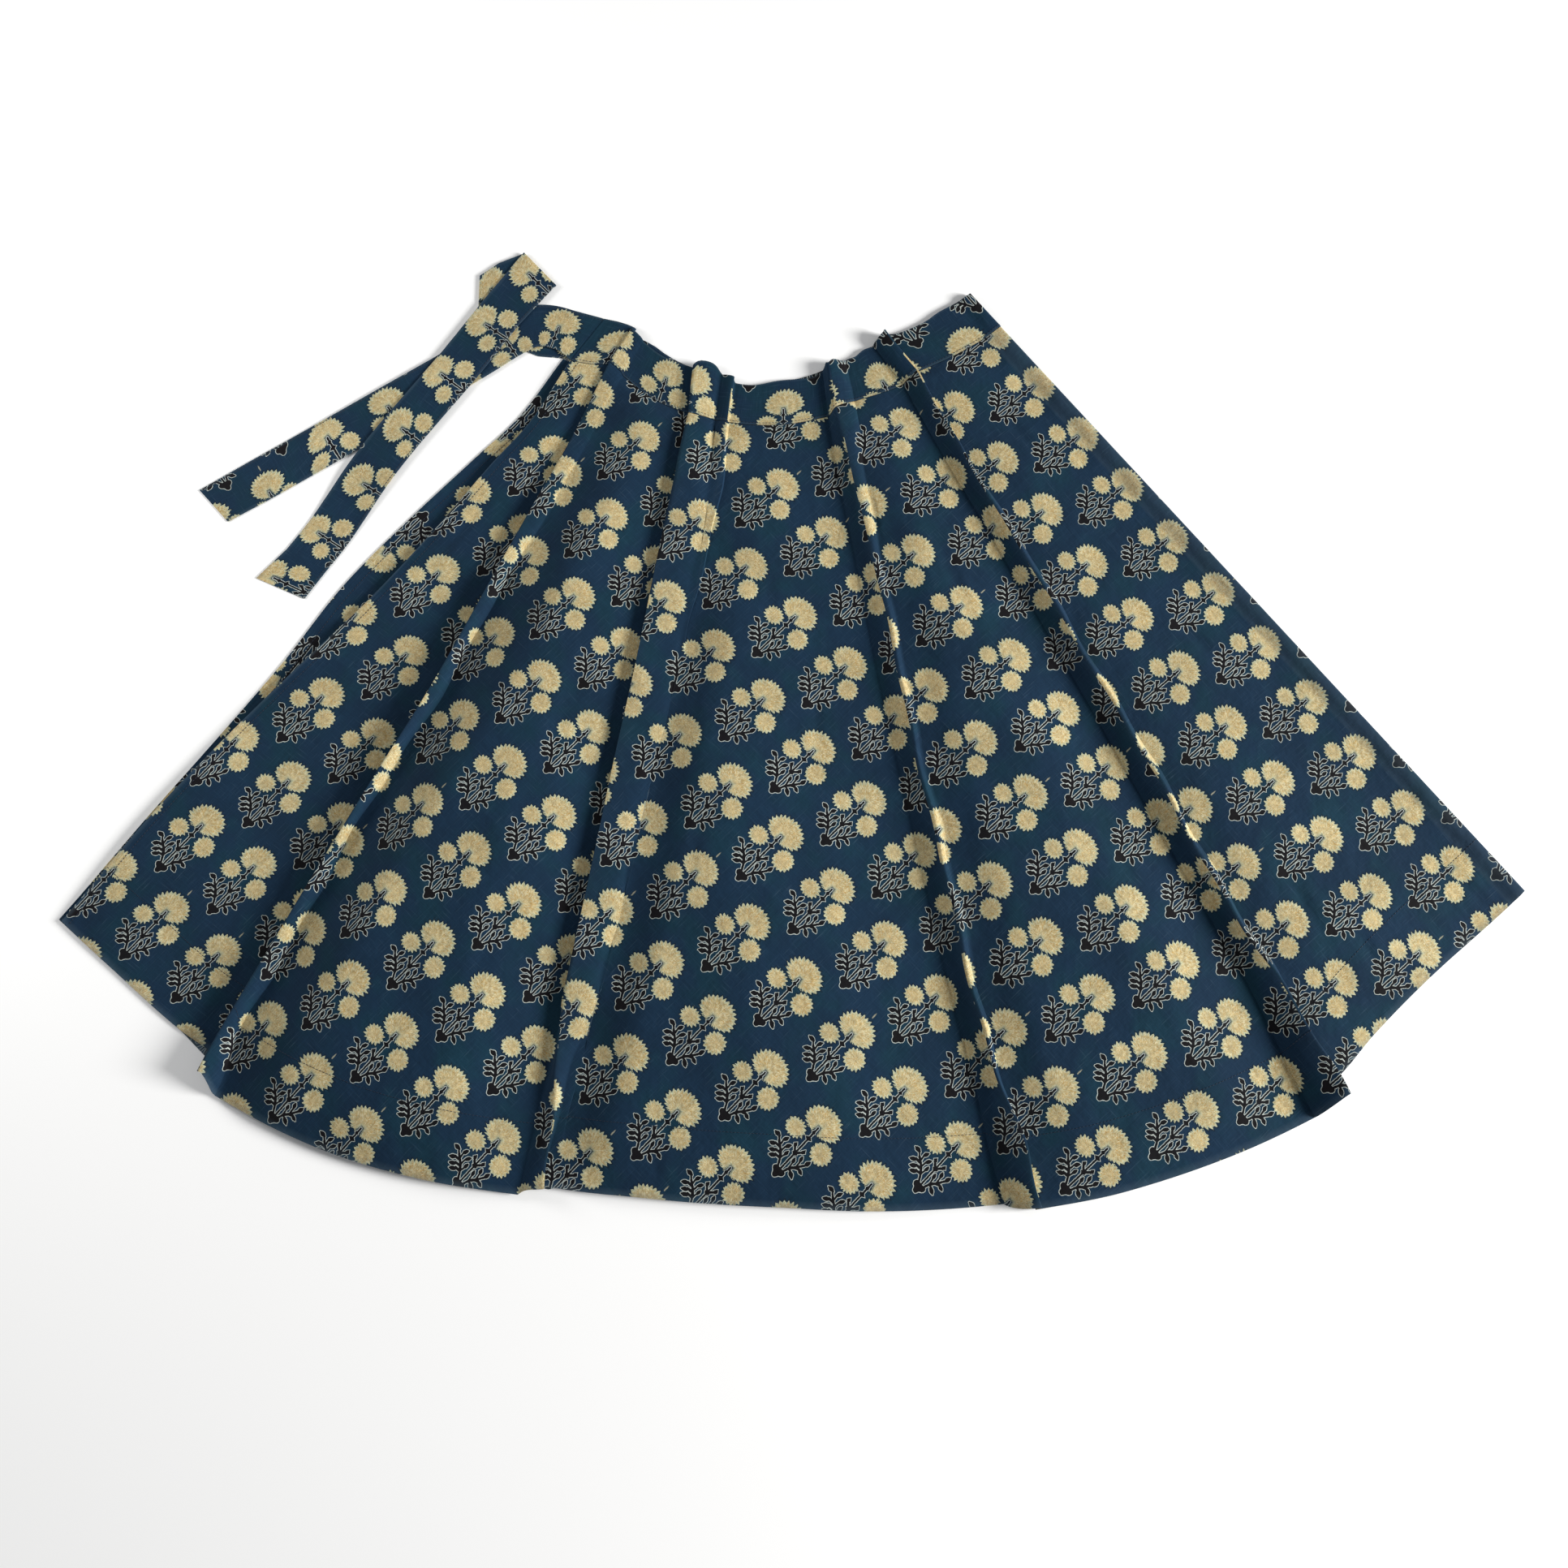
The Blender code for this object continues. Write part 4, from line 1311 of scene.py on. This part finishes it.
def bouquet_cells(tree, place):
    """The place in its own bouquet's millimetres, and that bouquet's row and column."""
    u, v = separate(place)
    row = ((v - ROW_BORDER) * (1.0 / REPEAT_UP)).math("ROUND")
    turn = (u - row * ROW_SHIFT + BORDER_SHIFT) * (2 * math.pi / REPEAT_ACROSS)
    border = turn.math("COSINE") * BORDER_WAVE + ROW_BORDER
    above = v - row * REPEAT_UP
    row = row - above.math("LESS_THAN", border)
    x = u - row * ROW_SHIFT
    y = v - row * REPEAT_UP
    column = ((x + COLUMN_SHIFT) * (1.0 / REPEAT_ACROSS)).math("ROUND")
    x = x - column * REPEAT_ACROSS
    return combine(tree, x, y), combine(tree, row, column)


def flower_hearts(point):
    """The way from the heart of the flower that a place belongs to, and how fine its streaks are."""
    x, y = separate(point)
    left = x.math("LESS_THAN", LEFT_FLOWER_BOUNDS[0]) * y.math("LESS_THAN", LEFT_FLOWER_BOUNDS[1])
    tilted = y + x * RIGHT_FLOWER_TILT
    right = x.math("GREATER_THAN", RIGHT_FLOWER_BOUNDS[0]) * tilted.math("LESS_THAN", RIGHT_FLOWER_BOUNDS[1])
    heart = left.scaled(tuple(b - a for a, b in zip(FAN_HEART, LEFT_FLOWER))).vector(
        "ADD", right.scaled(tuple(b - a for a, b in zip(FAN_HEART, RIGHT_FLOWER)))
    )
    fine = (1.0 - left - right) * FINE_MORE + FINE_SMALL
    return point.vector("SUBTRACT", heart.moved(FAN_HEART)), fine


def flower_shapes(point):
    """Distance to the nearest flower's rim, negative inside."""
    flowers = fan_shape(point)
    flowers = flowers.least(ellipse_shape(point, LEFT_FLOWER, LEFT_FLOWER_SIZE))
    return flowers.least(ellipse_shape(point, RIGHT_FLOWER, RIGHT_FLOWER_SIZE))


def dark_shapes(point):
    """Distance to the nearest of the pot, stems, beads and leaves."""
    dark = pot_shape(point)
    for shape, rows in ((stalk_shape, STALKS), (bead_shape, BEADS), (leaf_shape, LEAVES)):
        for row in rows:
            dark = dark.least(shape(point, row))
    return dark


def flower_pattern(point, place, luck, given):
    """Petals that spread from each flower's heart: the distance to their ragged rim, and their colour."""
    ray, fine = flower_hearts(point)
    ray_x, ray_y = separate(ray)
    turn = ray_y.math("ARCTAN2", ray_x) * fine
    reach = ray.vector("LENGTH", output=1)
    seed = luck.scaled(STREAK_SEED)
    streak_place = combine(point.tree, turn, reach * STREAK_STRETCH)
    petal_place = combine(point.tree, turn * PETAL_FINE, reach * PETAL_STRETCH)
    streaks = noise(streak_place.vector("ADD", seed), *STREAK_NOISE)
    petals = noise(petal_place.vector("ADD", seed), *PETAL_NOISE)
    spike = (turn + streaks * SPIKE_STREAKS).math("PINGPONG", SPIKE_TURN)
    ragged = flower_shapes(point) + (streaks - 0.5) * RIM_STREAKS + spike * RIM_SPIKES + RIM_INSET

    gold_share = streaks.soft_step(*STREAK_EDGE) * STREAK_GOLD + separate(luck)[1] * LUCK_GOLD
    gold_share = gold_share + ragged.soft_step(*HEART_EDGE) * HEART_GOLD
    flower = mix_colours(gold_share, given["Straw"], given["Ochre"])
    flower = mix_colours(petals.soft_step(*STREAK_EDGE) * PETAL_CREAM, flower, given["Cream"])
    flower = mix_colours(ragged.soft_step(*RIM_EDGE) * RIM_LICHEN, flower, given["Lichen"])
    return ragged, times(flower, noise(place, *MOTTLE_NOISE).soft_step(*MOTTLE_SHADE))


def dyed_ground(place, given):
    """The dyed ground, with greener patches and faint slubs both ways of the weave; and the slubs."""
    patches = noise(place.moved(PATCH_PLACE), *PATCH_NOISE)
    slub_up = noise(place.scaled((SLUB_THIN, SLUB_LONG, 0.0)), *SLUB_NOISE)
    slub_across = noise(place.scaled((SLUB_LONG, SLUB_THIN, 0.0)), *SLUB_NOISE)
    ground = mix_colours(patches.soft_step(*PATCH_EDGE), given["Indigo"], given["Teal"])
    pale_slubs = slub_up.soft_step(*SLUB_UP_EDGE).most(slub_across.soft_step(*SLUB_ACROSS_EDGE))
    return mix_colours(pale_slubs * SLUB_FADED, ground, given["Faded"]), slub_up + slub_across


def thread_wave(place, axis):
    """Up and down of the threads that cross one way of the weave."""
    count = [0.0, 0.0, 0.0]
    count[axis] = 2 * math.pi / THREAD_PITCH
    return place.dot(tuple(count)).math("SINE")


def print_sockets(group, colours):
    """Gives the print's node group its inputs and outputs; gives the inputs as wires."""
    inputs = [("Place", "Vector", None), *((name, "Color", value) for name, value in colours.items())]
    # Wear, with painted highlight on the folded edge and crests, and the wrong side's fade.
    inputs += [("Wear", "Float", 0.0), ("Fade", "Float", 0.0)]
    for name, kind, value in inputs:
        socket = group.interface.new_socket(name, in_out="INPUT", socket_type="NodeSocket" + kind)
        if value is not None:
            socket.default_value = value
    for name, kind in (("Color", "Color"), ("Roughness", "Float"), ("Weave", "Float")):
        group.interface.new_socket(name, in_out="OUTPUT", socket_type="NodeSocket" + kind)
    entry = group.nodes.new("NodeGroupInput")
    return {socket.name: Wire(group, socket) for socket in entry.outputs}


def print_group(colours):
    """Node group of the block print: flat print coordinates in metres to colour and masks."""
    group = bpy.data.node_groups.new("block_print", "ShaderNodeTree")
    given = print_sockets(group, colours)
    place = given["Place"].scaled((1 / MM, 1 / MM, 0.0))
    wobble = noise(place, *WOBBLE_NOISE, colour=True).moved((-0.5, -0.5, -0.5))
    point, cell = bouquet_cells(group, wobble.vector("MULTIPLY_ADD", (1.0, 1.0, 0.0), place))
    luck = add_node(group, "ShaderNodeTexWhiteNoise", (cell,), 1, noise_dimensions="3D")

    ragged, flower = flower_pattern(point, place, luck, given)
    flower_mask = ragged.soft_step(*FLOWER_EDGE)
    ink = noise(place, *INK_NOISE)
    dark = dark_shapes(point) + (ink - 0.5) * 0.5
    dark_mask = dark.soft_step(*BLACK_EDGE)
    outline = (dark - OUTLINE_DISTANCE).math("ABSOLUTE").soft_step(*OUTLINE_EDGE)
    fleck = ellipse_shape(point, FLECK, FLECK_SIZE).soft_step(*FLECK_EDGE)
    fleck = fleck * separate(luck)[0].math("GREATER_THAN", FLECK_RARITY)
    ground, slubs = dyed_ground(place, given)

    # From the ground up: a dark halo, the flowers, the outlines, the black and the stray drop.
    colour = mix_colours(ragged.soft_step(*HALO_EDGE) * HALO_BLACK, ground, given["Black"])
    colour = mix_colours(flower_mask * FLOWER_COVER, colour, flower)
    outline_share = outline * (ink.soft_step(*INK_EDGE) * OUTLINE_INK + OUTLINE_COVER)
    colour = mix_colours(outline_share, colour, given["Outline"])
    colour = mix_colours(dark_mask * BLACK_COVER, colour, given["Black"])
    colour = mix_colours(fleck * FLECK_COVER, colour, given["Cream"])
    shade = noise(place, *CLOUD_NOISE).soft_step(*CLOUD_SHADE) * slubs.soft_step(*SLUB_SHADE)
    # Paler where the cloth is worn, and painted highlight where the wear attribute marks the folded edge and
    # crests.
    paled = mix_colours(given["Wear"] * WEAR_AND_HIGHLIGHT_FADED, times(colour, shade), given["Faded"])
    final = mix_colours(given["Fade"], paled, given["Faded"])
    rough = flower_mask * FLOWER_ROUGHNESS + dark_mask * BLACK_ROUGHNESS + GROUND_ROUGHNESS
    # The weave's own relief, a fine plain weave with the slubs riding on it.
    weave = thread_wave(place, 0) * thread_wave(place, 1) * 0.5 + slubs * SLUB_HEIGHT
    leave = group.nodes.new("NodeGroupOutput")
    for name, wire in (("Color", final), ("Roughness", rough), ("Weave", weave)):
        plug(leave.inputs[name], wire)
    return group


# ---------------------------------------------------------------- materials

# The colour settings that the print takes.
PRINT_COLOURS = ("indigo", "teal", "straw", "ochre", "cream", "lichen", "black", "outline", "faded")
WRONG_SIDE_FADE = 0.42
# Cotton: its faint shine and fuzz, and the strength and depth of its soft rumples and of its weave.
COTTON_LOOK = {"Specular IOR Level": 0.09, "Sheen Weight": 0.03, "Sheen Roughness": 0.45}
RUMPLE_NOISE = (28.0, 3.0, 0.55)
RUMPLE_RELIEF = (0.35, 6 * MM)
WEAVE_RELIEF = (0.25, 0.15 * MM)
# Thread: its shine, and the cloudiness that stands for its twist, with the share left in the dark parts.
THREAD_LOOK = {"Roughness": 0.6, "Specular IOR Level": 0.3}
THREAD_NOISE = (900.0, 2.0)
THREAD_RELIEF = (0.4, 0.05 * MM)
THREAD_DARK = 0.55
FLOOR_LOOK = {"Roughness": 0.9, "Specular IOR Level": 0.1}
FLOOR_NOISE = (1.7, 4.0, 0.55)
FLOOR_PALER = 1.012


def print_colours(context):
    colours = context.scene.skirt_colours
    return {name.title(): (*getattr(colours, name), 1.0) for name in PRINT_COLOURS}


def shared_print(context):
    """The print's node group, made when the first cloth needs it."""
    return bpy.data.node_groups.get("block_print") or print_group(print_colours(context))


def new_material(name, settings):
    """A new material with its shader's own values set, and that shader."""
    material = bpy.data.materials.new(name)
    material.use_nodes = True
    shader = material.node_tree.nodes["Principled BSDF"]
    set_values(shader, settings)
    return material, shader


def relief(height, strength, distance, under=None):
    """The normal that a height gives, laid on another normal if there is one."""
    node = height.tree.nodes.new("ShaderNodeBump")
    set_apart(node)
    set_values(node, {"Strength": strength, "Distance": distance})
    plug(node.inputs["Height"], height)
    plug(node.inputs["Normal"], under)
    return Wire(height.tree, node.outputs["Normal"])


def cotton_material(context, name, fade=0.0):
    """Printed cotton: the block print, the weave's relief and a faint fuzz that catches the light."""
    material, shader = new_material(name, COTTON_LOOK)
    tree = material.node_tree
    uv = add_node(tree, "ShaderNodeUVMap", (), uv_map=UV_NAME)
    node = tree.nodes.new("ShaderNodeGroup")
    set_apart(node)
    node.node_tree = shared_print(context)
    set_values(node, print_colours(context) | {"Fade": fade})
    plug(node.inputs["Place"], uv)
    # The wear attribute: real wear, and painted highlight on the folded edge and crests.
    plug(node.inputs["Wear"], add_node(tree, "ShaderNodeAttribute", (), 2, attribute_name=WEAR_AND_HIGHLIGHT_NAME))
    for name, output in (("Base Color", "Color"), ("Roughness", "Roughness")):
        plug(shader.inputs[name], Wire(tree, node.outputs[output]))
    rumple = relief(noise(uv.scaled((1.0, 1.0, 0.0)), *RUMPLE_NOISE), *RUMPLE_RELIEF)
    weave = Wire(tree, node.outputs["Weave"])
    plug(shader.inputs["Normal"], relief(weave, *WEAVE_RELIEF, under=rumple))
    return material


def thread_material(colour):
    """Twisted sewing thread."""
    material, shader = new_material("sewing_thread", THREAD_LOOK)
    cloudy = noise(add_node(material.node_tree, "ShaderNodeTexCoord", (), 3), *THREAD_NOISE)
    dark = tuple(value * THREAD_DARK for value in colour)
    plug(shader.inputs["Base Color"], mix_colours(cloudy, (*dark, 1.0), (*colour, 1.0)))
    plug(shader.inputs["Normal"], relief(cloudy, *THREAD_RELIEF))
    return material


def floor_material(colour):
    """A plain matt floor, very faintly cloudy."""
    material, shader = new_material("pale_floor", FLOOR_LOOK)
    cloudy = noise(add_node(material.node_tree, "ShaderNodeTexCoord", (), 3), *FLOOR_NOISE)
    pale = tuple(min(1.0, value * FLOOR_PALER) for value in colour)
    plug(shader.inputs["Base Color"], mix_colours(cloudy, (*colour, 1.0), (*pale, 1.0)))
    return material


# ---------------------------------------------------------------- settings a user would change


def length_property(label, text, value):
    return FloatProperty(name=label, description=text, default=value * MM, unit="LENGTH")


class SkirtSizes(PropertyGroup):
    panel_cloth: length_property("Panel cloth", "Thickness of the skirt panel", 0.9)
    band_cloth: length_property("Band cloth", "Thickness of the doubled waistband", 1.7)
    tie_cloth: length_property("Tie cloth", "Thickness of the doubled ties", 0.9)
    hem_depth: length_property("Hem depth", "How far above the hem its sewing runs", 76)
    stitch_length: length_property("Stitch length", "Length of one stitch of the hand-turned hem", 3)


def colour_property(label, text, value):
    return FloatVectorProperty(
        name=label, description=text, default=value, subtype="COLOR", size=3, min=0.0, max=1.0
    )


class SkirtColours(PropertyGroup):
    indigo: colour_property("Indigo", "Main colour of the dyed ground", (0.0064, 0.0222, 0.0470))
    teal: colour_property("Teal", "Greener patches of the ground", (0.0056, 0.0270, 0.0460))
    straw: colour_property("Straw", "Main colour of the flowers", (0.385, 0.330, 0.170))
    ochre: colour_property("Ochre", "Warm streaks of the flowers", (0.390, 0.250, 0.085))
    cream: colour_property("Cream", "Palest specks of the flowers", (0.580, 0.540, 0.360))
    lichen: colour_property("Lichen", "Pale greenish edge of the flowers", (0.370, 0.410, 0.290))
    black: colour_property("Black", "Pots, stems and leaves", (0.0050, 0.0040, 0.0045))
    outline: colour_property("Outline", "Pale line round the dark shapes", (0.420, 0.455, 0.415))
    # Faded is also the colour painted as highlight on the folded edge and crests.
    faded: colour_property("Faded", "Colour of worn and wrong-side cloth", (0.075, 0.112, 0.146))
    thread: colour_property("Thread", "Sewing thread", (0.012, 0.020, 0.040))
    floor: colour_property("Floor", "Floor the skirt lies on", (0.92, 0.92, 0.915))


# ---------------------------------------------------------------- sewing

OVER_SIDE_SEAM = 9 * MM
UNDER_SIDE_SEAM = 12.5 * MM
BAND_SEAM_ROW = 19.1
TIE_SEAM_LINE = 12.4
STITCH_WIDTH = 0.75 * MM
STITCH_RISE = 0.10 * MM
UNDER_STITCH_REACH = 0.2 * MM
STITCH_PITCH = 1.3


def cross_line(points, lift, index):
    """The line that crosses a grid's columns at fractional rows, lifted off the cloth, and its normals."""
    columns = np.arange(points.shape[1])
    low = np.clip(np.floor(index).astype(int), 0, len(points) - 2)
    share = (index - low)[:, None]
    normals = grid_normals(points)
    place = points[low, columns] * (1 - share) + points[low + 1, columns] * share
    normal = normals[low, columns] * (1 - share) + normals[low + 1, columns] * share
    normal = normal * math.copysign(1, lift)
    return place + normal * abs(lift), normal


def side_line(points, lift, index):
    """The line that runs down a grid's rows at fractional columns; the grid's turn flips its normals."""
    return cross_line(points.transpose(1, 0, 2), -lift, index)


def rows_at(values, wanted):
    """Fractional rows at which each column of rising values reaches the wanted ones."""
    rows = np.arange(len(values))
    return np.array([np.interp(w, column, rows) for w, column in zip(wanted, values.T)])


def panel_seams(grid, points, sizes):
    """Lines of stitches: the deep hem on both halves, and the narrow side hems."""
    radius = grid["radius"]
    index = rows_at(radius, radius[-1] - sizes.hem_depth)
    top = slice(0, grid["count_top"])
    bottom = slice(grid["count_top"], None)
    outside = sizes.panel_cloth / 2 + STITCH_RISE
    lines = [cross_line(points[:, top], outside, index[top])]
    lines.append(cross_line(points[:, bottom], UNDER_STITCH_REACH, index[bottom]))
    length = arc_lengths(grid["angle"], grid["height"], radius)
    index = rows_at(length.T, np.full(len(length), OVER_SIDE_SEAM))
    lines.append(side_line(points, outside, index))
    index = rows_at(length.T, length[:, -1] - UNDER_SIDE_SEAM)
    lines.append(side_line(points, -outside, index))
    return lines


def band_seams(grid, points, sizes):
    """A line of stitches just above the band's seam, on the part that shows."""
    shown = points[:, : grid["count_top"]]
    index = np.full(shown.shape[1], BAND_SEAM_ROW)
    return [cross_line(shown, sizes.band_cloth / 2 + STITCH_RISE, index)]


def tie_seams(points, sizes):
    """A line of stitches along a tie's sewn edge, on the face that looks up."""
    place, normal = cross_line(points, 0.0, np.full(points.shape[1], TIE_SEAM_LINE))
    upward = normal * np.where(normal[:, 2:] < 0, -1, 1)
    return [(place + upward * (sizes.tie_cloth / 2 + STITCH_RISE), upward)]


def stitch_model(length):
    """One stitch, modelled once: a short rounded thread. Gives its points and faces."""
    bpy.ops.object.select_all(action="DESELECT")
    bpy.ops.mesh.primitive_uv_sphere_add(segments=6, ring_count=4, radius=0.5)
    model = bpy.context.active_object
    bpy.ops.object.mode_set(mode="EDIT")
    bpy.ops.mesh.select_all(action="SELECT")
    bpy.ops.transform.resize(value=(STITCH_WIDTH, STITCH_WIDTH, length))
    bpy.ops.object.mode_set(mode="OBJECT")
    points = np.array([tuple(vertex.co) for vertex in model.data.vertices])[:, [2, 0, 1]]
    faces = [tuple(face.vertices) for face in model.data.polygons]
    bpy.data.objects.remove(model)
    return points, faces


def run_lengths(line):
    """How far along a line each of its places is."""
    return np.append(0.0, np.cumsum(np.linalg.norm(np.diff(line, axis=0), axis=1)))


def stitches_along(model, line, normals, pitch):
    """The model's points repeated along one line, each copy lying along it and facing its normal."""
    length = run_lengths(line)
    middle = (np.arange(int(length[-1] // pitch)) + 0.5) * pitch

    def at(values, where):
        return np.stack([np.interp(where, length, column) for column in values.T], axis=-1)

    ahead = at(line, middle + pitch / 3) - at(line, middle - pitch / 3)
    ahead /= np.linalg.norm(ahead, axis=1, keepdims=True)
    side = np.cross(at(normals, middle), ahead)
    side /= np.linalg.norm(side, axis=1, keepdims=True)
    axes = np.stack([ahead, side, np.cross(ahead, side)], axis=1)
    return (at(line, middle)[:, None, :] + model @ axes).reshape(-1, 3)


def sew(name, lines, context):
    """A row of stitches along each line of places and normals, as one mesh."""
    length = context.scene.skirt_sizes.stitch_length
    model, faces = stitch_model(length)
    placed = np.concatenate([stitches_along(model, *line, length * STITCH_PITCH) for line in lines])
    starts = range(0, len(placed), len(model))
    joined = [tuple(corner + start for corner in face) for start in starts for face in faces]
    mesh = bpy.data.meshes.new(name)
    mesh.from_pydata(placed.tolist(), [], joined)
    mesh.materials.append(thread_material(context.scene.skirt_colours.thread))
    piece = link_object(name, mesh)
    select_only(piece)
    bpy.ops.object.shade_smooth()
    return piece


# ---------------------------------------------------------------- pieces


def finish(piece, node):
    """Attaches a piece to the root body and hides the solid it stands for."""
    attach(piece, "root")
    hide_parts(node)


def finish_cloth(cloth, stitches, node):
    """Finishes a cloth piece and its stitches."""
    finish(stitches, node)
    finish(cloth, node)


class WRAPSKIRT_OT_panel(Operator):
    """Makes the folded skirt panel with its flutes, creases and turned side edge"""

    bl_idname = "wrapskirt.panel"
    bl_label = "Skirt panel"

    def execute(self, context):
        sizes = context.scene.skirt_sizes
        grid = panel_grid()
        points = cone_points(grid)
        mesh = sheet_mesh("skirt_cloth", points, unroll(grid), panel_wear_and_highlight(grid))
        piece = link_object("skirt_cloth", mesh)
        print_side_hem(mesh, grid)
        face = cotton_material(context, "printed_cotton_panel")
        back = cotton_material(context, "printed_cotton_panel_wrong_side", WRONG_SIDE_FADE)
        give_thickness(piece, sizes.panel_cloth, face, back)
        stitches = sew("hem_stitches", panel_seams(grid, points, sizes), context)
        finish_cloth(piece, stitches, "skirt_panel")
        return {"FINISHED"}


class WRAPSKIRT_OT_waistband(Operator):
    """Makes the waistband that follows the panel's folds"""

    bl_idname = "wrapskirt.waistband"
    bl_label = "Waistband"

    def execute(self, context):
        sizes = context.scene.skirt_sizes
        grid = band_grid()
        points = cone_points(grid)
        mesh = sheet_mesh("waistband_cloth", points, band_print(grid), edge_wear(points))
        piece = link_object("waistband_cloth", mesh)
        face = cotton_material(context, "printed_cotton_band")
        give_thickness(piece, sizes.band_cloth, face, face)
        stitches = sew("waistband_stitches", band_seams(grid, points, sizes), context)
        finish_cloth(piece, stitches, "waistband")
        return {"FINISHED"}


class WRAPSKIRT_OT_ties(Operator):
    """Makes the two ties: the over tie lying free and the under tie turned back twice"""

    bl_idname = "wrapskirt.ties"
    bl_label = "Ties"

    def execute(self, context):
        sizes = context.scene.skirt_sizes
        face = cotton_material(context, "printed_cotton_ties")
        ties = (
            ("tie_over", tie_over_edges(), TIE_OVER_PRINT, True),
            ("tie_under", tie_under_edges(), TIE_UNDER_PRINT, False),
        )
        for name, edges, stations, from_first_edge in ties:
            points = strip_grid(edges)
            length = run_lengths(points.mean(axis=0))
            second_run = np.isclose(points[:, :, 2], SECOND_LEVEL * MM)
            upright = ~second_run[:-1, :-1] | from_first_edge
            prints = (*tie_print(length, stations, from_first_edge), upright)
            mesh = sheet_mesh(name + "_cloth", points, prints, edge_wear(points))
            piece = link_object(name + "_cloth", mesh)
            give_thickness(piece, sizes.tie_cloth, face, face)
            stitches = sew(name + "_stitches", tie_seams(points, sizes), context)
            finish_cloth(piece, stitches, name)
        return {"FINISHED"}


# ---------------------------------------------------------------- floor, light and camera

CAMERA_PLACE = (-0.00949, -0.43273, 1.68666)
CAMERA_TILT = 11.3
CAMERA_SENSOR = 36.0
CAMERA_LENS = 35.03

FLOOR_SIZE = 24.0
FLOOR_DROP = 0.2 * MM
# Two soft lamps, one on each side of the skirt, and the light of the room round them.
Lamp = namedtuple("Lamp", "name place size power")
LAMPS = table(
    Lamp,
    ("right_lamp", (5.0, -0.5, 1.9), 1.9, 620.0),
    ("left_lamp", (-1.6, 0.6, 0.6), 0.7, 14.0),
)
LAMP_COLOUR = (1.0, 0.99, 0.975)
ROOM_COLOUR = (0.95, 0.97, 1.0, 1.0)
ROOM_STRENGTH = 0.29


def lay_floor(colour):
    """The floor, just clear of the cloth."""
    bpy.ops.object.select_all(action="DESELECT")
    bpy.ops.mesh.primitive_plane_add(size=FLOOR_SIZE, location=(0.0, 0.0, -FLOOR_DROP))
    floor = bpy.context.active_object
    floor.name = "floor"
    bpy.ops.object.transform_apply(location=True)
    floor.data.materials.append(floor_material(colour))


def soft_light(name, place, size, power):
    """A round soft lamp aimed at the middle of the skirt."""
    light = bpy.data.lights.new(name, "AREA")
    light.shape = "DISK"
    light.size = size
    light.energy = power
    light.color = LAMP_COLOUR
    lamp = link_object(name, light)
    lamp.location = place
    lamp.rotation_euler = (-Vector(place)).to_track_quat("-Z", "Y").to_euler()


def light_room(scene):
    """The even light that comes from all round."""
    scene.world = bpy.data.worlds.new("studio")
    scene.world.use_nodes = True
    background = scene.world.node_tree.nodes["Background"]
    set_values(background, {"Color": ROOM_COLOUR, "Strength": ROOM_STRENGTH})


def place_camera(scene):
    """The camera, above the skirt and tilted a little towards its waist."""
    data = bpy.data.cameras.new("camera")
    data.sensor_width = CAMERA_SENSOR
    data.sensor_fit = "HORIZONTAL"
    data.lens = CAMERA_LENS
    camera = link_object("camera", data)
    camera.location = CAMERA_PLACE
    camera.rotation_euler = (math.radians(CAMERA_TILT), 0.0, 0.0)
    scene.camera = camera
    scene.view_settings.view_transform = "Standard"


class WRAPSKIRT_OT_stage(Operator):
    """Lays the pale floor and sets the soft light and the camera"""

    bl_idname = "wrapskirt.stage"
    bl_label = "Floor, light and camera"

    def execute(self, context):
        lay_floor(context.scene.skirt_colours.floor)
        for lamp in LAMPS:
            soft_light(*lamp)
        light_room(context.scene)
        place_camera(context.scene)
        return {"FINISHED"}


OPERATORS = (
    WRAPSKIRT_OT_stage,
    WRAPSKIRT_OT_panel,
    WRAPSKIRT_OT_waistband,
    WRAPSKIRT_OT_ties,
)


class WRAPSKIRT_PT_pieces(Panel):
    """Buttons that make each piece, and the sizes and colours they take"""

    bl_label = "Wrap skirt"
    bl_idname = "WRAPSKIRT_PT_pieces"
    bl_space_type = "VIEW_3D"
    bl_region_type = "UI"
    bl_category = "Skirt"

    def draw(self, context):
        column = self.layout.column()
        for operator in OPERATORS:
            column.operator(operator.bl_idname)
        for settings in (context.scene.skirt_sizes, context.scene.skirt_colours):
            for name in settings.__annotations__:
                column.prop(settings, name)


CLASSES = (SkirtSizes, SkirtColours, *OPERATORS, WRAPSKIRT_PT_pieces)


def register():
    for entry in CLASSES:
        bpy.utils.register_class(entry)
    bpy.types.Scene.skirt_sizes = PointerProperty(type=SkirtSizes)
    bpy.types.Scene.skirt_colours = PointerProperty(type=SkirtColours)


def unregister():
    del bpy.types.Scene.skirt_colours
    del bpy.types.Scene.skirt_sizes
    for entry in reversed(CLASSES):
        bpy.utils.unregister_class(entry)


def main():
    register()
    bpy.ops.wrapskirt.stage()
    bpy.ops.wrapskirt.panel()
    bpy.ops.wrapskirt.waistband()
    bpy.ops.wrapskirt.ties()


if __name__ == "__main__":
    main()
